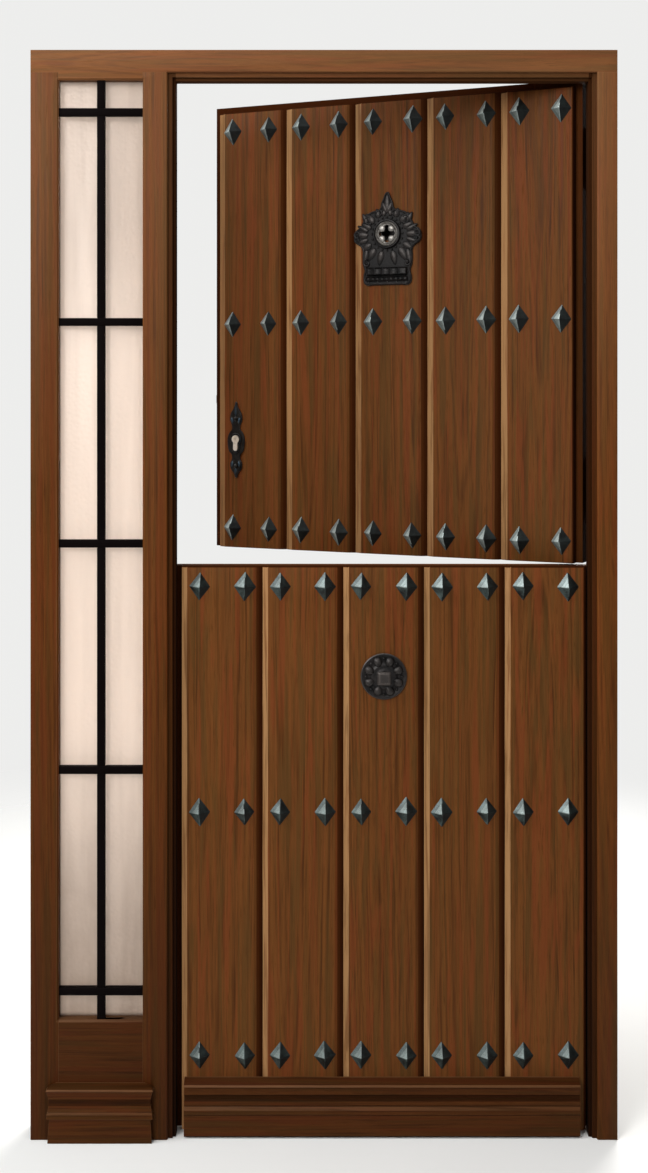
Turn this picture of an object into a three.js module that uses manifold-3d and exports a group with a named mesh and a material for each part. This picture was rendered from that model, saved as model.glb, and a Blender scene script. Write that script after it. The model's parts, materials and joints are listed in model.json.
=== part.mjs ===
// A rustic split front door: a frame with a glazed sidelight beside a doorway that holds two leaves,
// one above the other, each of five studded planks nailed to a framed back.
// Millimetres, +Z up. X runs along the wall, -Y is the outside, and the origin is the middle of the
// mullion's foot on the finished floor. The upper leaf stands ajar, the lower leaf is shut.

import * as THREE from 'three';
import { ConvexGeometry } from 'three/addons/geometries/ConvexGeometry.js';
import { mergeVertices } from 'three/addons/utils/BufferGeometryUtils.js';
import Module from 'manifold-3d';

const wasm = await Module();
wasm.setup();

// ---- Driving dimensions ---------------------------------------------------------------------------

const SEAT = 0.3;                 // gap kept where one piece rests on another

// frame
const FRAME_HEIGHT = 2100;
const FRAME_DEPTH = 75;
const DOORWAY_WIDTH = 798;        // between the lips
const SIDELIGHT_WIDTH = 162;
const JAMB_WIDTH = 54;
const MULLION_WIDTH = 63;
const HEAD_HEIGHT = 58;
const SILL_HEIGHT = 231;          // top of the sidelight's bottom rail
const LIP_DEPTH = 42;             // outside face to the leaf's rebate
const LEAF_REBATE = 13;
const ARRIS_RADIUS = 4;           // rounded outer edge of the mouldings
const STEP_OUTER = { width: 9, depth: 8 };
const STEP_INNER = { width: 6, depth: 14 };

// sidelight
const GLASS_SETBACK = 24;
const GLASS_THICKNESS = 6;
const GLASS_REBATE = 12;
const GLASS_GROOVE = 20;          // deep groove in the head that the pane is lifted into
const GLASS_EDGE_GAP = 2;
const BEAD_DEPTH = 16;
const BAR_SIZE = 15;              // square iron bar
const BAR_SETBACK = 4;
const BAR_SOCKET = 8;             // how far each bar end is let into the frame
const CROSSBAR_HEIGHTS = [284, 711, 1148, 1576, 1981];

// plinth and weatherboard share one moulding, as height against projection
const PLINTH_SIDE_LAP = 17;
const PLINTH_TOP = 111;
const PLINTH_PROJECTION = 20;
const WEATHERBOARD_INSET = { left: 6, right: 14 };
const WEATHERBOARD_FOOT = 3;      // it hangs a little below the planks
const WEATHERBOARD_PROJECTION = 24;

// leaves
const LEAF_GAP = 3;               // round the framed back, in the rebate
const LOCK_SIDE_GAP = 10;         // between the planks and the mullion's lip
const HINGE_SIDE_GAP = 3;         // between the planks and the jamb's lip
const HEAD_GAP = 5;
const FLOOR_GAP = 7;
const LEAF_SPLIT = 1102;          // top of the lower leaf
const SPLIT_GAP = 4;
const PLANK_SETBACK = 25;
const PLANK_THICKNESS = 20;
const PLANK_COUNT = 5;
const V_WIDTH = 12;               // half a V joint
const V_DEPTH = 8;
const TONGUE = { length: 8, thickness: 5, setback: 11.5 };
const STILE_WIDTH = 100;
const RAIL_HEIGHT = 110;
const TENON = { length: 40, thickness: 10, shoulder: 15 };
const UPPER_LEAF_AJAR = 25.5;     // degrees

// studs
const STUD = { halfWidth: 20.5, halfHeight: 28, waist: 0.72, rise: 13, rim: 1.6 };
const STUD_SPACING = 87;          // two columns on each plank
const STUD_EDGE = 39;             // top and bottom rows, from the plank ends
const MIDDLE_ROW_RISE = { upper: 8, lower: 17.5 };   // above half way between those rows

// hinges
const KNUCKLE_RADIUS = 6.5;
const KNUCKLE_STANDOFF = 7;       // hinge axis to the inside face
const KNUCKLE_LENGTH = 60;        // each half
const KNUCKLE_GAP = 0.6;
const HINGE_PIN_RADIUS = 3.2;
const HINGE_PIN_PLAY = 0.25;
const HINGE_PLATE = { width: 36, thickness: 2.5 };
const HINGE_EDGE = 150;           // hinge middles, from the ends of each leaf

// lock on the upper leaf
const KEY_RISE = 231.5;           // key above the foot of the upper leaf
const SPINDLE_RISE = 85;          // spindle above the key
const BACKSET = 60;               // from the leaf's edge
const LOCK_CASE = { length: 78, thickness: 16, below: 45, above: 45 };
const FOREND = { width: 22, thickness: 3, height: 235 };
const LATCH = { height: 18, thickness: 11, length: 50, throw: 11.5 };
const DEAD_BOLT = { height: 34, thickness: 12, length: 45, rise: 21 };
const DEAD_BOLT_THROW = 20;
const BOLT_PLAY = 0.4;
const EURO = { radius: 8.5, stem: 10, height: 33, projection: 3 };
const STRIKE = { width: 24, thickness: 2, margin: 30 };
const LEVER_NECK_RADIUS = 8;
const LEVER_STANDOFF = 48;
const LEVER_LENGTH = 118;
const BACKPLATE = { width: 42, height: 232, thickness: 3.5 };
const ESCUTCHEON = { height: 148, thickness: 3.5 };

// peephole in the upper leaf
const PEEPHOLE_DROP = 21.75;      // below half way between the two upper rows of studs
const PEEPHOLE = { bore: 15, tube: 18, flange: 33, flangeThickness: 3 };
const COVER = { radius: 21, thickness: 3, pin: 3, pinRise: 26 };
const GRILLE_PLATE = 4;
const EYE_RISE = 8;               // the eye stands above the middle of the grille

// knob and slide bolt on the lower leaf
const KNOB_DROP = 213;            // below the top of the lower leaf
const KNOB_ROSE_RADIUS = 46;
const SLIDE_BOLT_DROP = 102;      // below the top of the lower leaf
const SLIDE_BOLT = { radius: 6, length: 84, standoff: 13, throw: 28 };
const SLIDE_BOLT_PLAY = 0.6;
const SLIDE_BOLT_PLATE = { length: 88, height: 40, thickness: 3 };
const KEEP = { width: 26, height: 34 };

// ---- Derived places -------------------------------------------------------------------------------

const FRONT = -FRAME_DEPTH / 2;
const BACK = FRAME_DEPTH / 2;
const depth = (d) => FRONT + d;                      // a distance behind the frame's outside face

const DOORWAY = { x0: MULLION_WIDTH / 2, x1: MULLION_WIDTH / 2 + DOORWAY_WIDTH,
  z0: 0, z1: FRAME_HEIGHT - HEAD_HEIGHT };
const SIDELIGHT = { x0: -MULLION_WIDTH / 2 - SIDELIGHT_WIDTH, x1: -MULLION_WIDTH / 2,
  z0: SILL_HEIGHT, z1: FRAME_HEIGHT - HEAD_HEIGHT };
const FRAME = { x0: SIDELIGHT.x0 - JAMB_WIDTH, x1: DOORWAY.x1 + JAMB_WIDTH };
const MOULDING_WIDTH = STEP_OUTER.width + STEP_INNER.width;
const HEAD_JOINT = DOORWAY.z1 + MOULDING_WIDTH;      // top of the posts

const LEAF = { x0: DOORWAY.x0 - LEAF_REBATE + LEAF_GAP, x1: DOORWAY.x1 + LEAF_REBATE - LEAF_GAP };
const FIELD = { x0: DOORWAY.x0 + LOCK_SIDE_GAP, x1: DOORWAY.x1 - HINGE_SIDE_GAP };
const PLANK_WIDTH = (FIELD.x1 - FIELD.x0) / PLANK_COUNT;
const MIDDLE_PLANK = (FIELD.x0 + FIELD.x1) / 2;
const PLANK_FRONT = depth(PLANK_SETBACK);
const PLANK_BACK = PLANK_FRONT + PLANK_THICKNESS;
const LEAF_FACE = PLANK_BACK + SEAT;                 // outer face of stiles and rails
const HINGE_AXIS = { x: (LEAF.x1 + DOORWAY.x1 + LEAF_REBATE) / 2, y: BACK + KNUCKLE_STANDOFF };

const UPPER = { name: 'upper', z0: LEAF_SPLIT + SPLIT_GAP, z1: DOORWAY.z1 + LEAF_REBATE - LEAF_GAP,
  plankZ1: DOORWAY.z1 - HEAD_GAP };
const LOWER = { name: 'lower', z0: FLOOR_GAP, z1: LEAF_SPLIT, plankZ1: LEAF_SPLIT };
const studRows = (low, high, rise) => [low, (low + high) / 2 + rise, high];
UPPER.studRows = studRows(UPPER.z0 + STUD_EDGE, UPPER.plankZ1 - STUD_EDGE, MIDDLE_ROW_RISE.upper);
LOWER.studRows = studRows(PLINTH_TOP + STUD_EDGE + 3, LOWER.z1 - STUD_EDGE, MIDDLE_ROW_RISE.lower);

const PEEPHOLE_HEIGHT = (UPPER.studRows[1] + UPPER.studRows[2]) / 2 - PEEPHOLE_DROP;
const KNOB_HEIGHT = LOWER.z1 - KNOB_DROP;
const SLIDE_BOLT_HEIGHT = LOWER.z1 - SLIDE_BOLT_DROP;
const KEY = { x: LEAF.x0 + BACKSET, z: UPPER.z0 + KEY_RISE };
const SPINDLE = { x: KEY.x, z: KEY.z + SPINDLE_RISE };
const BOLT_LINE = (LEAF_FACE + BACK) / 2;            // middle of the stile's thickness
const DEAD_BOLT_Z = KEY.z + DEAD_BOLT.rise;
const REBATE_WALL = DOORWAY.x0 - LEAF_REBATE;        // the mullion's face beside the leaf's edge

// ---- Materials ------------------------------------------------------------------------------------

const surface = (color, roughness, metalness, more = {}) =>
  ({ color, roughness, metalness, ...more });
const WOOD = surface(0x643c1e, 0.5, 0);
const IRON = surface(0x14181a, 0.45, 0.8);
const STEEL = surface(0xb9b9b6, 0.3, 1);
const GLASS = surface(0xe8dccb, 0.15, 0, { transparent: true, opacity: 0.55 });

// ---- Solids ---------------------------------------------------------------------------------------

function signedVolume(position, index) {
  const a = new THREE.Vector3(), b = new THREE.Vector3(), c = new THREE.Vector3();
  let sum = 0;
  for (let i = 0; i < index.count; i += 3) {
    a.fromBufferAttribute(position, index.getX(i));
    b.fromBufferAttribute(position, index.getX(i + 1));
    c.fromBufferAttribute(position, index.getX(i + 2));
    sum += a.dot(b.cross(c));
  }
  return sum;
}

function solid(geometry) {
  geometry.deleteAttribute('normal');
  geometry.deleteAttribute('uv');
  const merged = mergeVertices(geometry, 1e-3);
  const index = Uint32Array.from(merged.index.array);
  if (signedVolume(merged.attributes.position, merged.index) < 0) index.reverse();
  return new wasm.Manifold(new wasm.Mesh({
    numProp: 3, vertProperties: Float32Array.from(merged.attributes.position.array), triVerts: index,
  }));
}

function toGeometry(manifold) {
  const mesh = manifold.getMesh();
  const geometry = new THREE.BufferGeometry();
  geometry.setAttribute('position', new THREE.BufferAttribute(mesh.vertProperties, 3));
  geometry.setIndex(new THREE.BufferAttribute(mesh.triVerts, 1));
  return geometry;
}

const joined = (parts) => parts.reduce((sum, part) => sum.add(part));
const cutBy = (body, cutters) => cutters.reduce((left, cutter) => left.subtract(cutter), body);

function box(x0, x1, y0, y1, z0, z1) {
  const geometry = new THREE.BoxGeometry(x1 - x0, y1 - y0, z1 - z0);
  geometry.translate((x0 + x1) / 2, (y0 + y1) / 2, (z0 + z1) / 2);
  return solid(geometry);
}

function shapeOf(points) {
  return new THREE.Shape(points.map(([u, v]) => new THREE.Vector2(u, v)));
}

// A flat outline pushed along one axis. Outline coordinates are (y, z), (x, z) or (x, y).
function extrude(shape, axis, from, to, curveSegments = 8) {
  const geometry = new THREE.ExtrudeGeometry(shape,
    { depth: to - from, bevelEnabled: false, curveSegments });
  const X = new THREE.Vector3(1, 0, 0), Y = new THREE.Vector3(0, 1, 0), Z = new THREE.Vector3(0, 0, 1);
  const turn = new THREE.Matrix4();
  if (axis === 'x') turn.makeBasis(Y, Z, X).setPosition(from, 0, 0);
  if (axis === 'y') turn.makeBasis(X, Z, Y.negate()).setPosition(0, to, 0);
  if (axis === 'z') turn.makeBasis(X, Y, Z).setPosition(0, 0, from);
  return solid(geometry.applyMatrix4(turn));
}

// A profile of [radius, distance] pairs spun round an axis through (u, v) of the other two axes.
function spin(profile, axis, centre, segments = 24) {
  const points = profile.map(([radius, along]) => new THREE.Vector2(radius, along));
  const geometry = new THREE.LatheGeometry(points, segments);
  if (axis === 'y') geometry.translate(centre[0], 0, centre[1]);
  if (axis === 'z') geometry.rotateX(Math.PI / 2).translate(centre[0], centre[1], 0);
  if (axis === 'x') geometry.rotateZ(-Math.PI / 2).translate(0, centre[0], centre[1]);
  return solid(geometry);
}

const cylinder = (radius, axis, centre, from, to, segments = 24) =>
  spin([[0, from], [radius, from], [radius, to], [0, to]], axis, centre, segments);

function ring(outer, inner, axis, centre, from, to, segments = 24) {
  const profile = [[inner, from], [outer, from], [outer, to], [inner, to], [inner, from]];
  return spin(profile, axis, centre, segments);
}

function arcPoints(centreU, centreV, radius, startDegrees, endDegrees, steps) {
  return Array.from({ length: steps + 1 }, (_, i) => {
    const a = THREE.MathUtils.degToRad(startDegrees + (endDegrees - startDegrees) * i / steps);
    return [centreU + radius * Math.cos(a), centreV + radius * Math.sin(a)];
  });
}

// ---- Scene graph ----------------------------------------------------------------------------------

function addPiece(group, name, manifold, look) {
  const mesh = new THREE.Mesh(toGeometry(manifold), new THREE.MeshStandardMaterial(look));
  mesh.name = name;
  group.add(mesh);
}

// A leaf's group turns about the hinge axis; its pieces are drawn where they stand when it is shut.
function hungGroup(degreesOpen) {
  const turning = new THREE.Group();
  turning.position.set(HINGE_AXIS.x, HINGE_AXIS.y, 0);
  turning.rotation.z = -THREE.MathUtils.degToRad(degreesOpen);
  const shut = new THREE.Group();
  shut.position.set(-HINGE_AXIS.x, -HINGE_AXIS.y, 0);
  turning.add(shut);
  return { turning, shut };
}

// ---- Frame ----------------------------------------------------------------------------------------

const spread = (opening, side, bottom, top) => ({ x0: opening.x0 - side, x1: opening.x1 + side,
  z0: opening.z0 - bottom, z1: opening.z1 + top });

// The space between two rectangles that stand at two depths behind the outside face.
function tapered(near, nearDepth, far, farDepth) {
  const corners = (r, d) => [[r.x0, r.z0], [r.x1, r.z0], [r.x1, r.z1], [r.x0, r.z1]]
    .map(([x, z]) => new THREE.Vector3(x, depth(d), z));
  return solid(new ConvexGeometry([...corners(near, nearDepth), ...corners(far, farDepth)]));
}

// An opening whose edge follows a moulding, given as [depth, spread] pairs from the outside inwards.
// Each ring is a mitred rectangle, so the moulding turns the corners as a mitred one does.
function mouldedOpening(opening, moulding, bottomSpread) {
  const rings = moulding.map(([d, s]) => [d, spread(opening, s, bottomSpread(s), s)]);
  const bands = rings.slice(1).map(([d, rectangle], i) => ({ d0: rings[i][0], near: rings[i][1],
    d1: d, far: rectangle })).filter((band) => band.d1 > band.d0);
  return joined(bands.map((band) => tapered(band.near, band.d0, band.far, band.d1)));
}

function doorwayCut() {
  const outer = MOULDING_WIDTH, inner = STEP_INNER.width;
  const arris = arcPoints(ARRIS_RADIUS, outer + ARRIS_RADIUS, ARRIS_RADIUS, 180, 270, 3);
  const moulding = [[-1, outer + ARRIS_RADIUS], ...arris,
    [STEP_OUTER.depth, outer], [STEP_OUTER.depth, inner + 1], [STEP_OUTER.depth + 1, inner],
    [STEP_INNER.depth, inner], [STEP_INNER.depth, 1], [STEP_INNER.depth + 1, 0],
    [LIP_DEPTH, 0], [LIP_DEPTH, LEAF_REBATE], [FRAME_DEPTH + 1, LEAF_REBATE]];
  return mouldedOpening(DOORWAY, moulding, () => 1);
}

function sidelightCut() {
  const lip = mouldedOpening(SIDELIGHT, [[-1, 4], [0, 4], [3, 0], [GLASS_SETBACK + 1, 0]], (s) => s);
  const rebate = spread(SIDELIGHT, GLASS_REBATE, GLASS_REBATE, 0);
  const groove = spread(SIDELIGHT, GLASS_REBATE, GLASS_REBATE, GLASS_GROOVE);
  return joined([lip,
    tapered(rebate, GLASS_SETBACK, rebate, FRAME_DEPTH + 1),
    tapered(groove, GLASS_SETBACK, groove, GLASS_SETBACK + GLASS_THICKNESS + 1)]);
}

// Every frame member is a region of one moulded block, so the mouldings meet at each joint.
function frameMembers() {
  const block = box(FRAME.x0, FRAME.x1, FRONT, BACK, 0, FRAME_HEIGHT)
    .subtract(doorwayCut()).subtract(sidelightCut());
  const slab = (x0, x1, z0, z1) => box(x0, x1, FRONT - 1, BACK + 1, z0, z1);
  return {
    jamb_left: block.intersect(slab(FRAME.x0, SIDELIGHT.x0, 0, HEAD_JOINT)),
    mullion: block.intersect(slab(SIDELIGHT.x1, DOORWAY.x0, 0, HEAD_JOINT)),
    jamb_right: block.intersect(slab(DOORWAY.x1, FRAME.x1, 0, HEAD_JOINT)),
    head: block.intersect(joined([
      slab(FRAME.x0, FRAME.x1, HEAD_JOINT, FRAME_HEIGHT),
      slab(SIDELIGHT.x0, SIDELIGHT.x1, SIDELIGHT.z1, HEAD_JOINT),
      slab(DOORWAY.x0, DOORWAY.x1, DOORWAY.z1, HEAD_JOINT)])),
    sidelight_bottom_rail: block.intersect(slab(SIDELIGHT.x0, SIDELIGHT.x1, 0, SILL_HEIGHT)),
  };
}

// Moulding shared by the plinth and the weatherboard: [height, projection] from the top down.
function footMoulding(projection) {
  const nose = arcPoints(PLINTH_TOP - 14, projection - 6, 6, 60, -10, 4);
  return [[PLINTH_TOP, 2], [PLINTH_TOP - 7, projection - 3], ...nose,
    [PLINTH_TOP - 27, projection - 6], [PLINTH_TOP - 31, projection - 11],
    [PLINTH_TOP - 37, projection - 11], [PLINTH_TOP - 40, projection - 6],
    [PLINTH_TOP - 48, projection - 6], [PLINTH_TOP - 50, projection - 8],
    [PLINTH_TOP - 56, projection - 2], [PLINTH_TOP - 64, projection - 2],
    [PLINTH_TOP - 66, projection - 4]];
}

// The plinth's moulding returns round both ends: a stack of rectangles that grow with the projection.
function plinth() {
  const x0 = SIDELIGHT.x0 - PLINTH_SIDE_LAP, x1 = SIDELIGHT.x1 + PLINTH_SIDE_LAP;
  const levels = [...footMoulding(PLINTH_PROJECTION), [0, PLINTH_PROJECTION - 4]];
  const rectangle = (projection, z) => {
    const side = projection - PLINTH_PROJECTION + 6;
    return [[x0 - side, FRONT - projection], [x1 + side, FRONT - projection], [x1 + side, FRONT],
      [x0 - side, FRONT]].map(([x, y]) => new THREE.Vector3(x, y, z));
  };
  const layers = levels.slice(1).filter(([z], i) => z < levels[i][0]).map(([z, projection], i) => {
    const [zAbove, projectionAbove] = levels[i];
    return solid(new ConvexGeometry([...rectangle(projectionAbove, zAbove), ...rectangle(projection, z)]));
  });
  return joined(layers);
}

function strikePlate() {
  const x0 = REBATE_WALL - STRIKE.thickness, y0 = BOLT_LINE - STRIKE.width / 2;
  const plate = box(x0, REBATE_WALL, y0, y0 + STRIKE.width,
    KEY.z - STRIKE.margin, SPINDLE.z + STRIKE.margin);
  const bolts = [latchShape(1.2), deadBoltShape(1.2)];
  return cutBy(plate, bolts.map((bolt) => bolt.translate([-LATCH.length / 2, 0, 0])));
}

function mullionCuts() {
  const seat = 0.2;
  const y0 = BOLT_LINE - STRIKE.width / 2 - seat, y1 = BOLT_LINE + STRIKE.width / 2 + seat;
  const recess = box(REBATE_WALL - STRIKE.thickness - seat, REBATE_WALL + 1, y0, y1,
    KEY.z - STRIKE.margin - seat, SPINDLE.z + STRIKE.margin + seat);
  const pocket = (bolt, z, reach) => box(REBATE_WALL - reach, REBATE_WALL,
    BOLT_LINE - bolt.thickness / 2 - 2, BOLT_LINE + bolt.thickness / 2 + 2,
    z - bolt.height / 2 - 2, z + bolt.height / 2 + 2);
  return [recess, pocket(LATCH, SPINDLE.z, LATCH.throw + 3),
    pocket(DEAD_BOLT, DEAD_BOLT_Z, DEAD_BOLT_THROW + 3)];
}

function barSockets() {
  const y0 = depth(BAR_SETBACK) - SEAT, y1 = depth(BAR_SETBACK + BAR_SIZE) + SEAT;
  const half = BAR_SIZE / 2 + SEAT, reach = BAR_SOCKET + SEAT;
  const middle = (SIDELIGHT.x0 + SIDELIGHT.x1) / 2;
  const rows = CROSSBAR_HEIGHTS.map((z) => box(SIDELIGHT.x0 - reach, SIDELIGHT.x1 + reach, y0, y1,
    z - half, z + half));
  return [...rows, box(middle - half, middle + half, y0, y1, SIDELIGHT.z0 - reach, SIDELIGHT.z1 + reach)];
}

// Bars cross in half-lap joints: the upright keeps its back half, each crossbar its front half.
function windowGrille(group) {
  const y0 = depth(BAR_SETBACK), lap = depth(BAR_SETBACK + BAR_SIZE / 2), y1 = depth(BAR_SETBACK + BAR_SIZE);
  const middle = (SIDELIGHT.x0 + SIDELIGHT.x1) / 2, half = BAR_SIZE / 2;
  const notches = CROSSBAR_HEIGHTS.map((z) =>
    box(middle - half - 1, middle + half + 1, y0 - 1, lap + SEAT / 2, z - half - SEAT, z + half + SEAT));
  const upright = box(middle - half, middle + half, y0, y1,
    SIDELIGHT.z0 - BAR_SOCKET, SIDELIGHT.z1 + BAR_SOCKET);
  addPiece(group, 'grille_upright', cutBy(upright, notches), IRON);
  CROSSBAR_HEIGHTS.forEach((z, i) => {
    const bar = box(SIDELIGHT.x0 - BAR_SOCKET, SIDELIGHT.x1 + BAR_SOCKET, y0, y1, z - half, z + half);
    const notch = box(middle - half - SEAT, middle + half + SEAT, lap - SEAT / 2, y1 + 1,
      z - half - 1, z + half + 1);
    addPiece(group, `grille_crossbar_${i + 1}`, bar.subtract(notch), IRON);
  });
}

function glazing(group) {
  const front = depth(GLASS_SETBACK) + SEAT, back = front + GLASS_THICKNESS;
  const side = GLASS_REBATE - GLASS_EDGE_GAP;
  addPiece(group, 'glass_pane', box(SIDELIGHT.x0 - side, SIDELIGHT.x1 + side, front, back,
    SIDELIGHT.z0 - side, SIDELIGHT.z1 + GLASS_REBATE), GLASS);

  const y0 = back + SEAT, y1 = y0 + BEAD_DEPTH, width = GLASS_REBATE - SEAT, round = 5;
  // section of a bead against a wall at 0: flat on the glass, rounded on the room side
  const section = [[0, y0], [width, y0], [width, y1 - round],
    ...arcPoints(width - round, y1 - round, round, 0, 90, 4).slice(1), [0, y1]];
  const zLow = SIDELIGHT.z0 - GLASS_REBATE + SEAT;
  const wallLeft = SIDELIGHT.x0 - GLASS_REBATE + SEAT, wallRight = SIDELIGHT.x1 + GLASS_REBATE - SEAT;
  addPiece(group, 'glazing_bead_left', extrude(shapeOf(section.map(([u, y]) => [wallLeft + u, y])),
    'z', zLow, SIDELIGHT.z1 - SEAT), WOOD);
  addPiece(group, 'glazing_bead_right', extrude(shapeOf(section.map(([u, y]) => [wallRight - u, y])),
    'z', zLow, SIDELIGHT.z1 - SEAT), WOOD);
  addPiece(group, 'glazing_bead_bottom', extrude(shapeOf(section.map(([u, y]) => [y, zLow + u])),
    'x', wallLeft + width + SEAT, wallRight - width - SEAT), WOOD);
}

function slideBoltKeep() {
  const x1 = REBATE_WALL - 4, x0 = x1 - KEEP.width, y1 = BACK + SLIDE_BOLT.standoff + SLIDE_BOLT.radius + 5;
  const z0 = SLIDE_BOLT_HEIGHT - KEEP.height / 2, z1 = SLIDE_BOLT_HEIGHT + KEEP.height / 2;
  const hole = cylinder(SLIDE_BOLT.radius + SLIDE_BOLT_PLAY, 'x',
    [BACK + SLIDE_BOLT.standoff, SLIDE_BOLT_HEIGHT], x0 - 1, x1 + 1, 20);
  const bridgeWidth = SLIDE_BOLT.radius + 5;
  const bridge = box(x0 + 5, x1 - 2, BACK, y1,
    SLIDE_BOLT_HEIGHT - bridgeWidth, SLIDE_BOLT_HEIGHT + bridgeWidth);
  return joined([box(x0, x1, BACK, BACK + 3, z0, z1), bridge]).subtract(hole);
}

function frameGroup() {
  const group = new THREE.Group();
  const members = frameMembers();
  members.mullion = cutBy(members.mullion, mullionCuts());
  for (const [name, member] of Object.entries(members)) {
    addPiece(group, name, cutBy(member, barSockets()), WOOD);
  }
  addPiece(group, 'sidelight_plinth', plinth(), WOOD);
  glazing(group);
  windowGrille(group);
  addPiece(group, 'strike_plate', strikePlate(), STEEL);
  addPiece(group, 'slide_bolt_keep', slideBoltKeep(), IRON);
  hingeHeights().forEach(({ name, z }) => addPiece(group, `hinge_${name}_jamb_half`, jambHalf(z), IRON));
  return group;
}

// ---- Hinges ---------------------------------------------------------------------------------------

function hingeHeights() {
  return [['lower_leaf_bottom', LOWER.z0 + HINGE_EDGE], ['lower_leaf_top', LOWER.z1 - HINGE_EDGE],
    ['upper_leaf_bottom', UPPER.z0 + HINGE_EDGE], ['upper_leaf_top', UPPER.z1 - HINGE_EDGE]]
    .map(([name, z]) => ({ name, z }));
}

function hingePlate(towards, z0, z1) {
  const far = HINGE_AXIS.x + towards * HINGE_PLATE.width;
  const [x0, x1] = [Math.min(HINGE_AXIS.x, far), Math.max(HINGE_AXIS.x, far)];
  return box(x0, x1, BACK + SEAT, BACK + SEAT + HINGE_PLATE.thickness, z0, z1);
}

// The lower knuckle carries the pin and is screwed to the jamb; the leaf's knuckle lifts off it.
function jambHalf(z) {
  const centre = [HINGE_AXIS.x, HINGE_AXIS.y];
  const knuckle = cylinder(KNUCKLE_RADIUS, 'z', centre, z - KNUCKLE_LENGTH, z, 20);
  const pin = spin([[0, z - 5], [HINGE_PIN_RADIUS, z - 5], [HINGE_PIN_RADIUS, z + KNUCKLE_LENGTH - 9],
    [HINGE_PIN_RADIUS - 1.2, z + KNUCKLE_LENGTH - 6], [0, z + KNUCKLE_LENGTH - 6]], 'z', centre, 20);
  const washer = cylinder(KNUCKLE_RADIUS - 1.5, 'z', centre, z - 1, z + KNUCKLE_GAP / 2, 20);
  return joined([knuckle, pin, washer, hingePlate(1, z - KNUCKLE_LENGTH, z)]);
}

function leafHalf(z) {
  const centre = [HINGE_AXIS.x, HINGE_AXIS.y];
  const z0 = z + KNUCKLE_GAP, z1 = z + KNUCKLE_LENGTH;
  const body = joined([cylinder(KNUCKLE_RADIUS, 'z', centre, z0, z1, 20), hingePlate(-1, z0, z1)]);
  const bore = cylinder(HINGE_PIN_RADIUS + HINGE_PIN_PLAY, 'z', centre, z0 - 1, z1 - 5, 20);
  return body.subtract(bore);
}

// ---- Leaves ---------------------------------------------------------------------------------------

// A forged four-pointed pyramid, its points up, down, left and right, with hollow sides between them.
function stud(x, z) {
  const cone = new THREE.ConeGeometry(1, STUD.rise, 8, 1);
  const position = cone.attributes.position;
  for (let i = 0; i < position.count; i++) {
    const u = position.getX(i), v = position.getZ(i);
    const onPoint = Math.min(Math.abs(u), Math.abs(v)) < 0.1;
    const reach = onPoint ? 1 : STUD.waist;
    position.setXYZ(i, u * reach * STUD.halfWidth, position.getY(i), v * reach * STUD.halfHeight);
  }
  const rim = [];
  for (let i = 0; i < 8; i++) {
    const a = i * Math.PI / 4, reach = i % 2 ? STUD.waist : 1;
    rim.push([x + Math.cos(a) * reach * STUD.halfWidth, z + Math.sin(a) * reach * STUD.halfHeight]);
  }
  const base = PLANK_FRONT - STUD.rim;
  cone.rotateX(Math.PI).translate(x, base - STUD.rise / 2, z);
  return solid(cone).add(extrude(shapeOf(rim), 'y', base, PLANK_FRONT + 0.5));
}

function plankSection(i) {
  const x0 = FIELD.x0 + i * PLANK_WIDTH + (i > 0 ? SEAT / 2 : 0);
  const x1 = FIELD.x0 + (i + 1) * PLANK_WIDTH - (i < PLANK_COUNT - 1 ? SEAT / 2 : 0);
  const y0 = PLANK_FRONT, y1 = PLANK_BACK;
  const t0 = y0 + TONGUE.setback, t1 = t0 + TONGUE.thickness;
  const right = i < PLANK_COUNT - 1
    ? [[x1, t0], [x1 + TONGUE.length, t0], [x1 + TONGUE.length, t1], [x1, t1]] : [];
  const grooveEnd = x0 + TONGUE.length + SEAT;
  const left = i > 0
    ? [[x0, t1 + SEAT], [grooveEnd, t1 + SEAT], [grooveEnd, t0 - SEAT], [x0, t0 - SEAT]] : [];
  return shapeOf([[x0 + V_WIDTH, y0], [x1 - V_WIDTH, y0], [x1, y0 + V_DEPTH], ...right, [x1, y1],
    [x0, y1], ...left, [x0, y0 + V_DEPTH]]);
}

function plank(leaf, i) {
  const end = 3;
  const board = extrude(plankSection(i), 'z', leaf.z0, leaf.plankZ1);
  const bevel = (z, up) => extrude(shapeOf([[PLANK_FRONT - 1, z - up * (end + 1)],
    [PLANK_FRONT + end + 1, z + up], [PLANK_FRONT - 1, z + up]]), 'x', FIELD.x0 - 1, FIELD.x1 + 1);
  const middle = FIELD.x0 + (i + 0.5) * PLANK_WIDTH;
  const studs = leaf.studRows.flatMap((z) =>
    [-1, 1].map((side) => stud(middle + side * STUD_SPACING / 2, z)));
  return joined([cutBy(board, [bevel(leaf.plankZ1, 1), bevel(leaf.z0, -1)]), ...studs]);
}

function railHeights(leaf) {
  const [bottom, middle] = leaf.studRows;
  return {
    bottom_rail: [leaf.z0, Math.max(leaf.z0 + RAIL_HEIGHT, bottom + 35)],
    middle_rail: [middle - RAIL_HEIGHT / 2, middle + RAIL_HEIGHT / 2],
    top_rail: [leaf.z1 - RAIL_HEIGHT, leaf.z1],
  };
}

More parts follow.
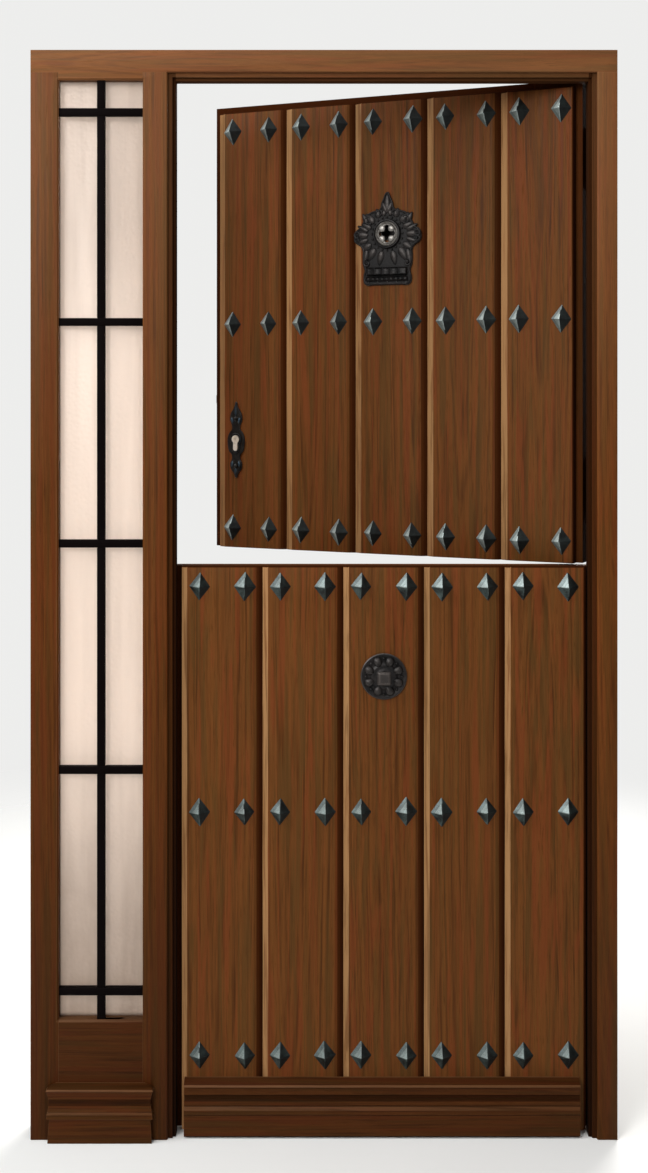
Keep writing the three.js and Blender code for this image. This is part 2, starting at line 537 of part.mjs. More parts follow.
// The framed back: two stiles, and three rails whose stub tenons stand in the stiles' mortises.
function framedBack(leaf) {
  const inner = { x0: LEAF.x0 + STILE_WIDTH, x1: LEAF.x1 - STILE_WIDTH };
  const middle = (LEAF_FACE + BACK) / 2;
  const tenonBox = ([z0, z1], play) => box(inner.x0 - TENON.length - play, inner.x1 + TENON.length + play,
    middle - TENON.thickness / 2 - play, middle + TENON.thickness / 2 + play,
    z0 + TENON.shoulder - play, z1 - TENON.shoulder + play);
  const rails = railHeights(leaf);
  const mortises = Object.values(rails).map((span) => tenonBox(span, SEAT));
  const pieces = {
    lock_stile: cutBy(box(LEAF.x0, inner.x0, LEAF_FACE, BACK, leaf.z0, leaf.z1), mortises),
    hinge_stile: cutBy(box(inner.x1, LEAF.x1, LEAF_FACE, BACK, leaf.z0, leaf.z1), mortises),
  };
  for (const [name, span] of Object.entries(rails)) {
    pieces[name] = box(inner.x0 + SEAT, inner.x1 - SEAT, LEAF_FACE, BACK, ...span).add(tenonBox(span, 0));
  }
  return pieces;
}

// ---- Lock -----------------------------------------------------------------------------------------

function euroProfile(play) {
  const r = EURO.radius + play, half = EURO.stem / 2 + play, low = EURO.height - EURO.radius + play;
  const start = THREE.MathUtils.radToDeg(Math.asin(half / r));
  const head = arcPoints(KEY.x, KEY.z, r, -90 + start, 270 - start, 18);
  const foot = arcPoints(KEY.x, KEY.z - low + half, half, 180, 360, 8);
  return shapeOf([...head, ...foot]);
}

function lockCylinder() {
  const y0 = PLANK_FRONT - SEAT - ESCUTCHEON.thickness - EURO.projection;
  const y1 = BACK + SEAT + BACKPLATE.thickness + EURO.projection;
  const keyway = (from, to) => box(KEY.x - 1.3, KEY.x + 1.3, from, to, KEY.z - 4.5, KEY.z + 4.5);
  return cutBy(extrude(euroProfile(0), 'y', y0, y1), [keyway(y0 - 1, y0 + 4), keyway(y1 - 4, y1 + 1)]);
}

// The latch's nose is bevelled on the outside, so that it is pushed in as the leaf swings shut.
function latchShape(play) {
  const x0 = LEAF.x0 - LATCH.throw - play, x1 = x0 + LATCH.length + 2 * play;
  const half = LATCH.thickness / 2 + play;
  const outline = [[x0 + LATCH.throw, BOLT_LINE - half], [x1, BOLT_LINE - half], [x1, BOLT_LINE + half],
    [x0, BOLT_LINE + half], [x0, BOLT_LINE + half - 2]];
  return extrude(shapeOf(outline), 'z',
    SPINDLE.z - LATCH.height / 2 - play, SPINDLE.z + LATCH.height / 2 + play);
}

function deadBoltShape(play) {
  const x0 = LEAF.x0 + 0.5 - play, half = DEAD_BOLT.thickness / 2 + play;
  return box(x0, x0 + DEAD_BOLT.length + 2 * play, BOLT_LINE - half, BOLT_LINE + half,
    DEAD_BOLT_Z - DEAD_BOLT.height / 2 - play, DEAD_BOLT_Z + DEAD_BOLT.height / 2 + play);
}

const boltChannel = (bolt, z, length) => box(LEAF.x0 - 1, LEAF.x0 + length,
  BOLT_LINE - bolt.thickness / 2 - BOLT_PLAY, BOLT_LINE + bolt.thickness / 2 + BOLT_PLAY,
  z - bolt.height / 2 - BOLT_PLAY, z + bolt.height / 2 + BOLT_PLAY);

function lockBody(play) {
  const x0 = LEAF.x0, half = LOCK_CASE.thickness / 2 + play;
  const middle = (KEY.z + SPINDLE.z) / 2;
  return joined([
    box(x0 - (play ? 1 : 0), x0 + FOREND.thickness + play, BOLT_LINE - FOREND.width / 2 - play,
      BOLT_LINE + FOREND.width / 2 + play,
      middle - FOREND.height / 2 - play, middle + FOREND.height / 2 + play),
    box(x0 + 1, x0 + FOREND.thickness + LOCK_CASE.length + play, BOLT_LINE - half, BOLT_LINE + half,
      KEY.z - LOCK_CASE.below - play, SPINDLE.z + LOCK_CASE.above + play)]);
}

function lockCase() {
  const spindleHole = cylinder(6.4, 'y', [SPINDLE.x, SPINDLE.z], FRONT, BACK, 16);
  return cutBy(lockBody(0), [extrude(euroProfile(SEAT), 'y', FRONT, BACK), spindleHole,
    boltChannel(LATCH, SPINDLE.z, LATCH.length + 2),
    boltChannel(DEAD_BOLT, DEAD_BOLT_Z, DEAD_BOLT.length + 3)]);
}

// Half an escutcheon's outline, from its foot to its tip, mirrored about the key.
function escutcheonOutline() {
  const shape = new THREE.Shape();
  const top = ESCUTCHEON.height / 2, x = KEY.x, z = KEY.z - 6;
  const right = [[4, -top + 6, 10, -top + 12], [15, -top + 22, 11, -34], [10, -30, 19, -22],
    [23, -8, 19, 12], [17, 21, 11, 25], [8, 31, 13, 40], [18, 50, 6, 62], [3, 68, 0, top]];
  shape.moveTo(x, z - top);
  for (const [cu, cv, u, v] of right) shape.quadraticCurveTo(x + cu, z + cv, x + u, z + v);
  const ends = [[0, -top], ...right.map(([, , u, v]) => [u, v])];
  for (let i = right.length - 1; i >= 0; i--) {
    shape.quadraticCurveTo(x - right[i][0], z + right[i][1], x - ends[i][0], z + ends[i][1]);
  }
  return shape;
}

function keyEscutcheon() {
  const y1 = PLANK_FRONT - SEAT, y0 = y1 - ESCUTCHEON.thickness;
  const plate = extrude(escutcheonOutline(), 'y', y0, y1, 4);
  const collar = extrude(euroProfile(3.4), 'y', y0 - 1.5, y1, 8);
  return plate.add(collar).subtract(extrude(euroProfile(SEAT), 'y', y0 - 3, y1 + 1));
}

function leverBackplate() {
  const y0 = BACK + SEAT, y1 = y0 + BACKPLATE.thickness;
  const middle = (KEY.z + SPINDLE.z) / 2, half = BACKPLATE.width / 2, straight = BACKPLATE.height / 2 - half;
  const outline = [...arcPoints(KEY.x, middle + straight, half, 0, 180, 12),
    ...arcPoints(KEY.x, middle - straight, half, 180, 360, 12)];
  const collar = cylinder(LEVER_NECK_RADIUS + 5, 'y', [SPINDLE.x, SPINDLE.z], y0, y1 + 4);
  const hole = cylinder(LEVER_NECK_RADIUS + 0.5, 'y', [SPINDLE.x, SPINDLE.z], y0 - 1, y1 + 6);
  return cutBy(extrude(shapeOf(outline), 'y', y0, y1).add(collar),
    [hole, extrude(euroProfile(SEAT), 'y', y0 - 1, y1 + 1)]);
}

// A forged lever: square spindle, round neck, and a bar that sweeps out level and curls at its end.
function leverHandle() {
  const y0 = BACK + SEAT, out = y0 + LEVER_STANDOFF;
  const neck = spin([[0, y0], [LEVER_NECK_RADIUS, y0], [LEVER_NECK_RADIUS, out - 14], [10.5, out - 8],
    [10.5, out + 4], [8, out + 8], [0, out + 9]], 'y', [SPINDLE.x, SPINDLE.z], 20);
  const spindle = box(SPINDLE.x - 4, SPINDLE.x + 4, BOLT_LINE - 6, y0 + 2, SPINDLE.z - 4, SPINDLE.z + 4);
  const sweep = new THREE.CatmullRomCurve3([[0, 0], [0.25, 0.02], [0.55, 0.06], [0.82, 0.03], [1, -0.05]]
    .map(([along, rise]) =>
      new THREE.Vector3(SPINDLE.x + along * LEVER_LENGTH, out, SPINDLE.z + rise * LEVER_LENGTH)));
  const section = new THREE.Shape().absellipse(0, 0, 9, 6, 0, Math.PI * 2);
  const bar = new THREE.ExtrudeGeometry(section,
    { steps: 16, curveSegments: 6, extrudePath: sweep, bevelEnabled: false });
  const end = new THREE.SphereGeometry(10.5, 16, 12)
    .translate(SPINDLE.x + LEVER_LENGTH, out, SPINDLE.z - 0.05 * LEVER_LENGTH);
  return joined([neck, spindle, solid(bar), solid(end)]);
}

// ---- Peephole -------------------------------------------------------------------------------------

// Outline of the cast grille: a crowned cartouche with a wing at each side and a tablet below.
function grilleOutline() {
  const shape = new THREE.Shape();
  const x = MIDDLE_PLANK, z = PEEPHOLE_HEIGHT - EYE_RISE;
  // control and end points of the right half, from the middle of the foot to the finial's tip
  const right = [[20, -102, 44, -101], [58, -100, 58, -88], [52, -76, 58, -64], [64, -52, 54, -42],
    [48, -34, 54, -26], [66, -26, 70, -14], [80, -6, 72, 6], [76, 20, 60, 22], [54, 30, 58, 40],
    [58, 56, 44, 60], [34, 62, 30, 56], [22, 58, 20, 68], [24, 78, 14, 82], [6, 84, 0, 95]];
  shape.moveTo(x, z - 98);
  for (const [cu, cv, u, v] of right) shape.quadraticCurveTo(x + cu, z + cv, x + u, z + v);
  const ends = [[0, -98], ...right.map(([, , u, v]) => [u, v])];
  for (let i = right.length - 1; i >= 0; i--) {
    shape.quadraticCurveTo(x - right[i][0], z + right[i][1], x - ends[i][0], z + ends[i][1]);
  }
  return shape;
}

// Four round petals that meet in the middle: the pierced eye of the grille.
function quatrefoil(radius, reach, y0, y1) {
  const petals = [0, 1, 2, 3].map((k) => {
    const a = k * Math.PI / 2;
    const centre = [MIDDLE_PLANK + reach * Math.cos(a), PEEPHOLE_HEIGHT + reach * Math.sin(a)];
    return cylinder(radius, 'y', centre, y0, y1, 16);
  });
  const middle = cylinder(reach * 0.8, 'y', [MIDDLE_PLANK, PEEPHOLE_HEIGHT], y0, y1, 16);
  return joined([...petals, middle]);
}

function scroll(x, z, size, y) {
  const boss = spin([[0, y - 5], [size * 0.35, y - 4.4], [size * 0.5, y - 2.5], [size * 0.62, y - 1.6],
    [size * 0.8, y - 3.4], [size, y - 2.2], [size, y + 0.5], [0, y + 0.5]], 'y', [x, z], 14);
  return boss;
}

function peepholeGrille() {
  const y1 = PLANK_FRONT - SEAT, y0 = y1 - GRILLE_PLATE;
  const x = MIDDLE_PLANK, z = PEEPHOLE_HEIGHT - EYE_RISE;
  const plate = extrude(grilleOutline(), 'y', y0, y1, 3);
  const eye = spin([[0, y0 - 4], [21, y0 - 4], [24, y0 - 6.5], [27, y0 - 7.5], [30, y0 - 5], [31, y0 + 0.5],
    [0, y0 + 0.5]], 'y', [x, PEEPHOLE_HEIGHT], 28);
  const scrolls = [-1, 1].flatMap((side) => [
    scroll(x + side * 61, z + 2, 11, y0), scroll(x + side * 43, z + 46, 11, y0),
    scroll(x + side * 40, z - 44, 8, y0)]);
  const bosses = [[0, 52, 9], [0, 74, 7], [0, -42, 9]].map(([u, v, size]) => scroll(x + u, z + v, size, y0));
  const tablet = box(x - 47, x + 47, y0 - 3, y0 + 0.5, z - 94, z - 62)
    .subtract(box(x - 42, x + 42, y0 - 4, y0 - 1, z - 89, z - 67));
  const beads = [-28, 0, 28].map((u) => stackedBead(x + u, z - 78, y0));
  const body = joined([plate, eye, ...scrolls, ...bosses, tablet, ...beads]);
  return body.subtract(quatrefoil(6.5, 9, y0 - 12, y1 + 1));
}

const stackedBead = (x, z, y) =>
  spin([[0, y - 4.5], [4, y - 3.6], [6.5, y - 0.8], [6.5, y + 0.5], [0, y + 0.5]], 'y', [x, z], 12);

// A tube through the plank, with a flange on the room side that carries the cover's pin.
function peepholeSleeve() {
  const centre = [MIDDLE_PLANK, PEEPHOLE_HEIGHT];
  const pinAt = [MIDDLE_PLANK, PEEPHOLE_HEIGHT + COVER.pinRise];
  const y0 = PLANK_FRONT + 0.5, y1 = PLANK_BACK + SEAT, y2 = y1 + PEEPHOLE.flangeThickness;
  const coverBack = y2 + SEAT + COVER.thickness + SEAT;
  const tube = cylinder(PEEPHOLE.tube, 'y', centre, y0, y2);
  const flange = cylinder(PEEPHOLE.flange, 'y', centre, y1, y2, 32);
  const pin = cylinder(COVER.pin, 'y', pinAt, y2 - 1, coverBack + 1, 16);
  const head = cylinder(COVER.pin + 2, 'y', pinAt, coverBack, coverBack + 2, 16);
  return joined([tube, flange, pin, head]).subtract(cylinder(PEEPHOLE.bore, 'y', centre, y0 - 1, y2 + 1));
}

function peepholeCover() {
  const y0 = PLANK_BACK + 2 * SEAT + PEEPHOLE.flangeThickness, y1 = y0 + COVER.thickness;
  const x = MIDDLE_PLANK, z = PEEPHOLE_HEIGHT, pinZ = z + COVER.pinRise;
  const disc = cylinder(COVER.radius, 'y', [x, z], y0, y1, 28);
  const ear = cylinder(7, 'y', [x, pinZ], y0, y1, 16);
  const neck = box(x - 7, x + 7, y0, y1, z, pinZ);
  const tab = spin([[0, y0 + 1], [5, y0 + 1], [4, y1 + 5], [6, y1 + 9], [4, y1 + 12], [0, y1 + 13]], 'y',
    [x, z - 12], 14);
  const pinHole = cylinder(COVER.pin + 0.3, 'y', [x, pinZ], y0 - 1, y1 + 1, 16);
  return joined([disc, ear, neck, tab]).subtract(pinHole);
}

function upperLeafGroup() {
  const { turning, shut } = hungGroup(UPPER_LEAF_AJAR);
  const back = framedBack(UPPER);
  const spindleBore = cylinder(LEVER_NECK_RADIUS + 1, 'y', [SPINDLE.x, SPINDLE.z], BOLT_LINE, BACK + 1);
  const cylinderBore = extrude(euroProfile(2), 'y', FRONT, BACK + 1);
  back.lock_stile = cutBy(back.lock_stile, [lockBody(SEAT), spindleBore, cylinderBore]);
  for (const [name, piece] of Object.entries(back)) addPiece(shut, `upper_${name}`, piece, WOOD);

  const tubeBore = cylinder(PEEPHOLE.tube + SEAT, 'y', [MIDDLE_PLANK, PEEPHOLE_HEIGHT],
    FRONT, PLANK_BACK + 1);
  for (let i = 0; i < PLANK_COUNT; i++) {
    addPiece(shut, `upper_plank_${i + 1}`, cutBy(plank(UPPER, i), [cylinderBore, tubeBore]), WOOD);
  }
  addPiece(shut, 'lock_case', lockCase(), STEEL);
  addPiece(shut, 'lock_cylinder', lockCylinder(), STEEL);
  addPiece(shut, 'latch_bolt', latchShape(0), STEEL);
  addPiece(shut, 'dead_bolt', deadBoltShape(0), STEEL);
  addPiece(shut, 'key_escutcheon', keyEscutcheon(), IRON);
  addPiece(shut, 'lever_backplate', leverBackplate(), IRON);
  addPiece(shut, 'lever_handle', leverHandle(), IRON);
  addPiece(shut, 'peephole_grille', peepholeGrille(), IRON);
  addPiece(shut, 'peephole_sleeve', peepholeSleeve(), IRON);
  addPiece(shut, 'peephole_cover', peepholeCover(), IRON);
  hingeHeights().filter(({ name }) => name.startsWith('upper'))
    .forEach(({ name, z }) => addPiece(shut, `hinge_${name}_leaf_half`, leafHalf(z), IRON));
  return turning;
}

// ---- Lower leaf -----------------------------------------------------------------------------------

function weatherboard() {
  const y = (projection) => PLANK_FRONT - SEAT - projection;
  const outline = [[y(0), PLINTH_TOP + 0.8],
    ...footMoulding(WEATHERBOARD_PROJECTION).map(([z, projection]) => [y(projection), z]),
    [y(WEATHERBOARD_PROJECTION - 4), WEATHERBOARD_FOOT + 2],
    [y(WEATHERBOARD_PROJECTION - 6), WEATHERBOARD_FOOT], [y(0), WEATHERBOARD_FOOT]];
  return extrude(shapeOf(outline), 'x',
    FIELD.x0 + WEATHERBOARD_INSET.left, FIELD.x1 - WEATHERBOARD_INSET.right);
}

// A cast rose of eight petals with a ring, and a faceted knob on a short neck.
function pullKnob() {
  const y1 = PLANK_FRONT - SEAT, centre = [MIDDLE_PLANK, KNOB_HEIGHT];
  const dish = spin([[0, y1 - 9], [13, y1 - 9], [17, y1 - 5], [24, y1 - 4], [27, y1 - 7.5], [31, y1 - 7.5],
    [34, y1 - 4], [KNOB_ROSE_RADIUS - 6, y1 - 3.5], [KNOB_ROSE_RADIUS - 6, y1], [0, y1]], 'y', centre, 36);
  const petals = Array.from({ length: 8 }, (_, k) => {
    const a = (k + 0.5) * Math.PI / 4, reach = KNOB_ROSE_RADIUS - 13;
    return spin([[0, y1 - 8], [6, y1 - 7], [11, y1 - 3.8], [13, y1 - 1.5], [13, y1], [0, y1]], 'y',
      [centre[0] + reach * Math.cos(a), centre[1] + reach * Math.sin(a)], 14);
  });
  const neck = spin([[0, y1 - 18], [9, y1 - 18], [8, y1 - 14], [12, y1 - 6], [0, y1 - 6]], 'y', centre, 24);
  const knob = new THREE.CylinderGeometry(14, 20, 10, 4, 1).rotateY(Math.PI / 4)
    .translate(centre[0], y1 - 22, centre[1]);
  const cap = new THREE.CylinderGeometry(20, 12, 4, 4, 1).rotateY(Math.PI / 4)
    .translate(centre[0], y1 - 28.9, centre[1]);
  return joined([dish, ...petals, neck, solid(knob), solid(cap)]);
}

function slideBoltCase() {
  const x0 = LEAF.x0 + 6, x1 = x0 + SLIDE_BOLT_PLATE.length, y0 = BACK + SEAT;
  const axisY = BACK + SLIDE_BOLT.standoff, half = SLIDE_BOLT.radius + 4;
  const plate = box(x0, x1, y0, y0 + SLIDE_BOLT_PLATE.thickness,
    SLIDE_BOLT_HEIGHT - SLIDE_BOLT_PLATE.height / 2, SLIDE_BOLT_HEIGHT + SLIDE_BOLT_PLATE.height / 2);
  const staple = (from) => box(from, from + 10, y0, axisY + half,
    SLIDE_BOLT_HEIGHT - half, SLIDE_BOLT_HEIGHT + half);
  const bore = cylinder(SLIDE_BOLT.radius + SLIDE_BOLT_PLAY, 'x', [axisY, SLIDE_BOLT_HEIGHT],
    x0 - 1, x1 + 1, 20);
  return joined([plate, staple(x0 + 4), staple(x1 - 14)]).subtract(bore);
}

function slideBolt() {
  const x0 = LEAF.x0 + 2, x1 = x0 + SLIDE_BOLT.length, axisY = BACK + SLIDE_BOLT.standoff;
  const rod = spin([[0, x0], [SLIDE_BOLT.radius - 2, x0], [SLIDE_BOLT.radius, x0 + 2], [SLIDE_BOLT.radius, x1],
    [0, x1]], 'x', [axisY, SLIDE_BOLT_HEIGHT], 20);
  const gripX = LEAF.x0 + SLIDE_BOLT_PLATE.length - 14, r = SLIDE_BOLT.radius;
  const grip = spin([[0, axisY], [3.5, axisY], [3.5, axisY + r + 6], [7, axisY + r + 11], [7, axisY + r + 15],
    [4, axisY + r + 18], [0, axisY + r + 18]], 'y', [gripX, SLIDE_BOLT_HEIGHT], 16);
  return rod.add(grip);
}

function lowerLeafGroup() {
  const { turning, shut } = hungGroup(0);
  for (const [name, piece] of Object.entries(framedBack(LOWER))) {
    addPiece(shut, `lower_${name}`, piece, WOOD);
  }
  for (let i = 0; i < PLANK_COUNT; i++) addPiece(shut, `lower_plank_${i + 1}`, plank(LOWER, i), WOOD);
  addPiece(shut, 'weatherboard', weatherboard(), WOOD);
  addPiece(shut, 'pull_knob', pullKnob(), IRON);
  addPiece(shut, 'slide_bolt_case', slideBoltCase(), IRON);
  addPiece(shut, 'slide_bolt', slideBolt(), IRON);
  hingeHeights().filter(({ name }) => name.startsWith('lower'))
    .forEach(({ name, z }) => addPiece(shut, `hinge_${name}_leaf_half`, leafHalf(z), IRON));
  return turning;
}

// ---- Whole door -----------------------------------------------------------------------------------

const door = new THREE.Group();
door.add(frameGroup(), upperLeafGroup(), lowerLeafGroup());

export default door;
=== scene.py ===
"""A rustic split front door with a barred sidelight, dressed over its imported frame.

Metres throughout. X runs along the wall, -Y is the outside and Z is up. The upper leaf stands ajar and
its pieces are made as if it were shut, then turned about its hinges to where it rests.
"""

import json
import logging
import math
import random
from dataclasses import dataclass, field
from enum import Enum
from typing import Callable, Iterable, Sequence

import bmesh
import bpy
from mathutils import Matrix, Vector, noise

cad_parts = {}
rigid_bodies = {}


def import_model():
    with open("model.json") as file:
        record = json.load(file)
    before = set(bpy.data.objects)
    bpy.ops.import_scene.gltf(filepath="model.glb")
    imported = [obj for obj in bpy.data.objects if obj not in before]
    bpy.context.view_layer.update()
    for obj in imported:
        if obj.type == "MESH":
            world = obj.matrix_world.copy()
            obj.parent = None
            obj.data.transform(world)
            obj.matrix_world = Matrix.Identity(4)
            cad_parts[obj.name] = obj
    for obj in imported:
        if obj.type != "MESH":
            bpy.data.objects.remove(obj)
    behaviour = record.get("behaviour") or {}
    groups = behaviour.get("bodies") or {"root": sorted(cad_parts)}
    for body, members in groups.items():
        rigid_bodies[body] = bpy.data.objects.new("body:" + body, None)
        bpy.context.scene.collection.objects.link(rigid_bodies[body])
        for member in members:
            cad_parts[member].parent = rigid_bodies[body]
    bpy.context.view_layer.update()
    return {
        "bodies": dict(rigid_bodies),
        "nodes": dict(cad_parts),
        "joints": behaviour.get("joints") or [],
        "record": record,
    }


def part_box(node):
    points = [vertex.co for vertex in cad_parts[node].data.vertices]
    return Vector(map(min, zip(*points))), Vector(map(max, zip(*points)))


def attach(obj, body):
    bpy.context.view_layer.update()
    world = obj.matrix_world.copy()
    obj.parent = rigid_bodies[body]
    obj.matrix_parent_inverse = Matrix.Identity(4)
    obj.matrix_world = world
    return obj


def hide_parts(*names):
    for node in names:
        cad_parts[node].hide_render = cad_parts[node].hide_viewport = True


LOG = logging.getLogger("split_door")
MM = 0.001
NOISE_SEED = 7              # keeps the small unevenness the same in every run
CRISP = 35.0                # degrees: an edge that turns by more stays crisp in the shading
FLAT = 0.5                  # degrees: faces that turn by less are one face
PACKED_WELD = 0.01 * MM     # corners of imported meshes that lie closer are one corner
TURNED_WELD = 0.001 * MM    # the same for a turned profile
PLANK_THICKNESS = 20 * MM
PLANK_SEAT = 0.3 * MM       # gap between the planks and a casting on them
BACKSET = 60 * MM           # edge of the lock stile to the middle of the lock


# ---- Names ----


class Body(str, Enum):
    """The rigid bodies of the door."""

    FRAME = "frame"
    UPPER = "upper_leaf"
    LOWER = "lower_leaf"
    LEVER = "lever_handle"
    LATCH = "latch_bolt"
    DEAD_BOLT = "dead_bolt"
    COVER = "peephole_cover"
    SLIDE_BOLT = "slide_bolt"


class Slot(str, Enum):
    """The finishes that the record lists."""

    LEAF_OAK = "leaf_oak"
    FRAME_OAK = "frame_oak"
    IRON = "black_iron"
    STEEL = "lock_steel"
    NICKEL = "lock_nickel"
    GLASS = "obscured_glass"


class Grain(Enum):
    """The way the fibres of a board run."""

    UPRIGHT = "upright"
    LEVEL = "level"


# ---- Where the leaves hang ----


@dataclass(frozen=True)
class Hanging:
    """A leaf's hinge line and how far it stands open at rest."""

    pivot: Vector
    opened: float

    @classmethod
    def of_leaf(cls, joints: Sequence[dict], child: Body) -> "Hanging":
        """Read a leaf's hinge from the record's joints.

        Args:
            joints: The record's joints.
            child: The body of the leaf.

        Returns:
            The hinge line, and the angle from shut to rest in radians.
        """
        joint = next(j for j in joints if j["child"] == child.value)
        x, y, _ = joint["pos_m"]
        return cls(Vector((x, y, 0.0)), math.radians(-joint["range_deg"][0]))

    @property
    def to_rest(self) -> Matrix:
        """Move from the shut place to the rest place."""
        turn = Matrix.Rotation(-self.opened, 4, "Z")
        return Matrix.Translation(self.pivot) @ turn @ Matrix.Translation(-self.pivot)


@dataclass(frozen=True)
class Places:
    """The lines of the door that several pieces share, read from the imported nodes."""

    field_left: float
    field_right: float
    plank_back: float
    frame_back: float
    upper: Hanging
    lower: Hanging

    @classmethod
    def read(cls, frame: dict) -> "Places":
        """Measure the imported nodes.


        Returns:
            The shared lines, in metres.
        """
        left_low, left_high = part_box("lower_plank_1")
        _, right_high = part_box("lower_plank_5")
        _, jamb_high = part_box("jamb_left")
        joints = frame["record"]["behaviour"]["joints"]
        return cls(
            field_left=left_low.x,
            field_right=right_high.x,
            plank_back=left_high.y,
            frame_back=jamb_high.y,
            upper=Hanging.of_leaf(joints, Body.UPPER),
            lower=Hanging.of_leaf(joints, Body.LOWER),
        )

    @property
    def middle(self) -> float:
        """The middle line of the doorway's planks."""
        return (self.field_left + self.field_right) / 2

    @property
    def plank_front(self) -> float:
        """The outside face of the planks."""
        return self.plank_back - PLANK_THICKNESS

    @property
    def lock_line(self) -> float:
        """The upright line through the middle of the lock, with the leaf shut."""
        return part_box("lower_lock_stile")[0].x + BACKSET


# ---- Modelling ----


class Blank:
    """One bmesh while it is being shaped."""

    def __init__(self) -> None:
        """Start with nothing."""
        self.bm = bmesh.new()

    @property
    def wear_and_painted_light(self) -> bmesh.types.BMLayerItem:
        """The layer that marks each face: pale above 0, as worn edges and painted highlights, and painted
        shade below 0.
        """
        layers = self.bm.faces.layers.float
        return layers.get("wear_and_painted_light") or layers.new("wear_and_painted_light")

    def block(self, low: Sequence[float], high: Sequence[float]) -> None:
        """Add a box between two corners.

        Args:
            low: The lowest corner.
            high: The highest corner.
        """
        a, b = Vector(low), Vector(high)
        made = bmesh.ops.create_cube(self.bm, size=1.0)["verts"]
        bmesh.ops.scale(self.bm, vec=b - a, verts=made)
        bmesh.ops.translate(self.bm, vec=(a + b) / 2, verts=made)

    def turned(self, profile: Sequence[tuple[float, float]], place: Matrix, steps: int = 24) -> list:
        """Turn a profile on the lathe, about the outward axis of a place.

        Args:
            profile: Pairs of radius and height over the face, from one end to the other. A profile that
                stops short of the axis is closed with a flat face, and one with two free ends is closed
                into a ring.
            place: The place whose Z is the lathe's axis.
            steps: Facets round the turning.

        Returns:
            The new vertices.
        """
        known = set(self.bm.verts)
        points = list(profile)
        if points[0][0] and points[-1][0]:
            points.append(points[0])
        elif points[0][0]:
            points.insert(0, (0.0, points[0][1]))
        elif points[-1][0]:
            points.append((0.0, points[-1][1]))
        line = [self.bm.verts.new((r, 0.0, h)) for r, h in points]
        edges = [self.bm.edges.new(pair) for pair in zip(line, line[1:])]
        bmesh.ops.spin(self.bm, geom=line + edges, cent=(0, 0, 0), axis=(0, 0, 1), dvec=(0, 0, 0),
                       angle=2 * math.pi, steps=steps, use_merge=True, use_duplicate=False)
        made = [v for v in self.bm.verts if v not in known]
        bmesh.ops.remove_doubles(self.bm, verts=made, dist=TURNED_WELD)
        made = [v for v in self.bm.verts if v not in known]
        faces = {f for v in made for f in v.link_faces}
        bmesh.ops.recalc_face_normals(self.bm, faces=list(faces))
        bmesh.ops.transform(self.bm, matrix=place, verts=made)
        return made

    def leaf(self, place: Matrix, length: float, width: float, rise: float) -> None:
        """Add a cast leaf: a long drop with a creased back that narrows to its tip.

        Args:
            place: The foot of the leaf; X runs to its tip and Z stands off the casting.
            length: Foot to tip.
            width: Across the widest part.
            rise: Height of the back over the casting.
        """
        wear_and_painted_light = self.wear_and_painted_light
        made = bmesh.ops.create_uvsphere(self.bm, u_segments=10, v_segments=7, radius=0.5)["verts"]
        bmesh.ops.rotate(self.bm, verts=made, cent=(0, 0, 0), matrix=Matrix.Rotation(math.pi / 2, 3, "Y"))
        for vert in made:
            along = vert.co.x + 0.5
            taper = 1.15 - 0.6 * along
            crease = 1.0 - 0.35 * min(1.0, abs(vert.co.y) * 6) if vert.co.z > 0 else 0.6
            vert.co.y *= taper
            vert.co.z *= taper * crease
        # Painted light: the leaf's back is marked pale as a highlight, and its foot dark as painted shade.
        for face in {f for v in made for f in v.link_faces}:
            face[wear_and_painted_light] = min(0.8, 3.4 * face.calc_center_median().z - 0.5)
        self.lay(made, place, (length, width, rise * 2))

    def lobe(self, place: Matrix, length: float, width: float, rise: float, top_pale: float = 0.7) -> None:
        """Add a cast lobe: a smooth swelling that is widest near its outer end.

        Args:
            place: The foot of the lobe; X runs to its outer end and Z stands off the casting.
            length: Foot to outer end.
            width: Across the widest part.
            rise: Height over the casting.
            top_pale: How pale its top is painted, as a highlight.
        """
        wear_and_painted_light = self.wear_and_painted_light
        made = bmesh.ops.create_uvsphere(self.bm, u_segments=12, v_segments=8, radius=0.5)["verts"]
        for vert in made:
            vert.co.y *= 0.8 + 0.4 * (vert.co.x + 0.5)
            vert.co.z = max(vert.co.z, -0.1)
        # Painted light: the top of the lobe is marked pale as a highlight, and its foot dark as painted
        # shade.
        for face in {f for v in made for f in v.link_faces}:
            face[wear_and_painted_light] = min(top_pale, 3.0 * face.calc_center_median().z - 0.7)
        self.lay(made, place, (length, width, rise * 2))

    def lay(self, made: list, place: Matrix, size: tuple[float, float, float]) -> None:
        """Give a leaf or a lobe its size, and lay it on the casting.

        Args:
            made: Its vertices, a form of unit size round the origin.
            place: Its foot.
            size: Its whole length, width and height, half of which is sunk.
        """
        bmesh.ops.translate(self.bm, vec=(0.5, 0, 0), verts=made)
        bmesh.ops.scale(self.bm, vec=size, verts=made)
        bmesh.ops.transform(self.bm, matrix=place, verts=made)

    def take(self, mesh: bpy.types.Mesh, place: Matrix) -> None:
        """Add a copy of a mesh.

        Args:
            mesh: The mesh to copy in.
            place: Where the copy goes.
        """
        known = set(self.bm.verts)
        self.bm.from_mesh(mesh)
        made = [v for v in self.bm.verts if v not in known]
        bmesh.ops.transform(self.bm, matrix=place, verts=made)

    def merge(self, flats: bool = True) -> None:
        """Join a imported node's loose triangles.

        Args:
            flats: True to join them into the flat faces that they came from as well.
        """
        bmesh.ops.remove_doubles(self.bm, verts=self.bm.verts, dist=PACKED_WELD)
        if flats:
            bmesh.ops.dissolve_limit(self.bm, angle_limit=math.radians(FLAT), verts=self.bm.verts,
                                     edges=self.bm.edges)

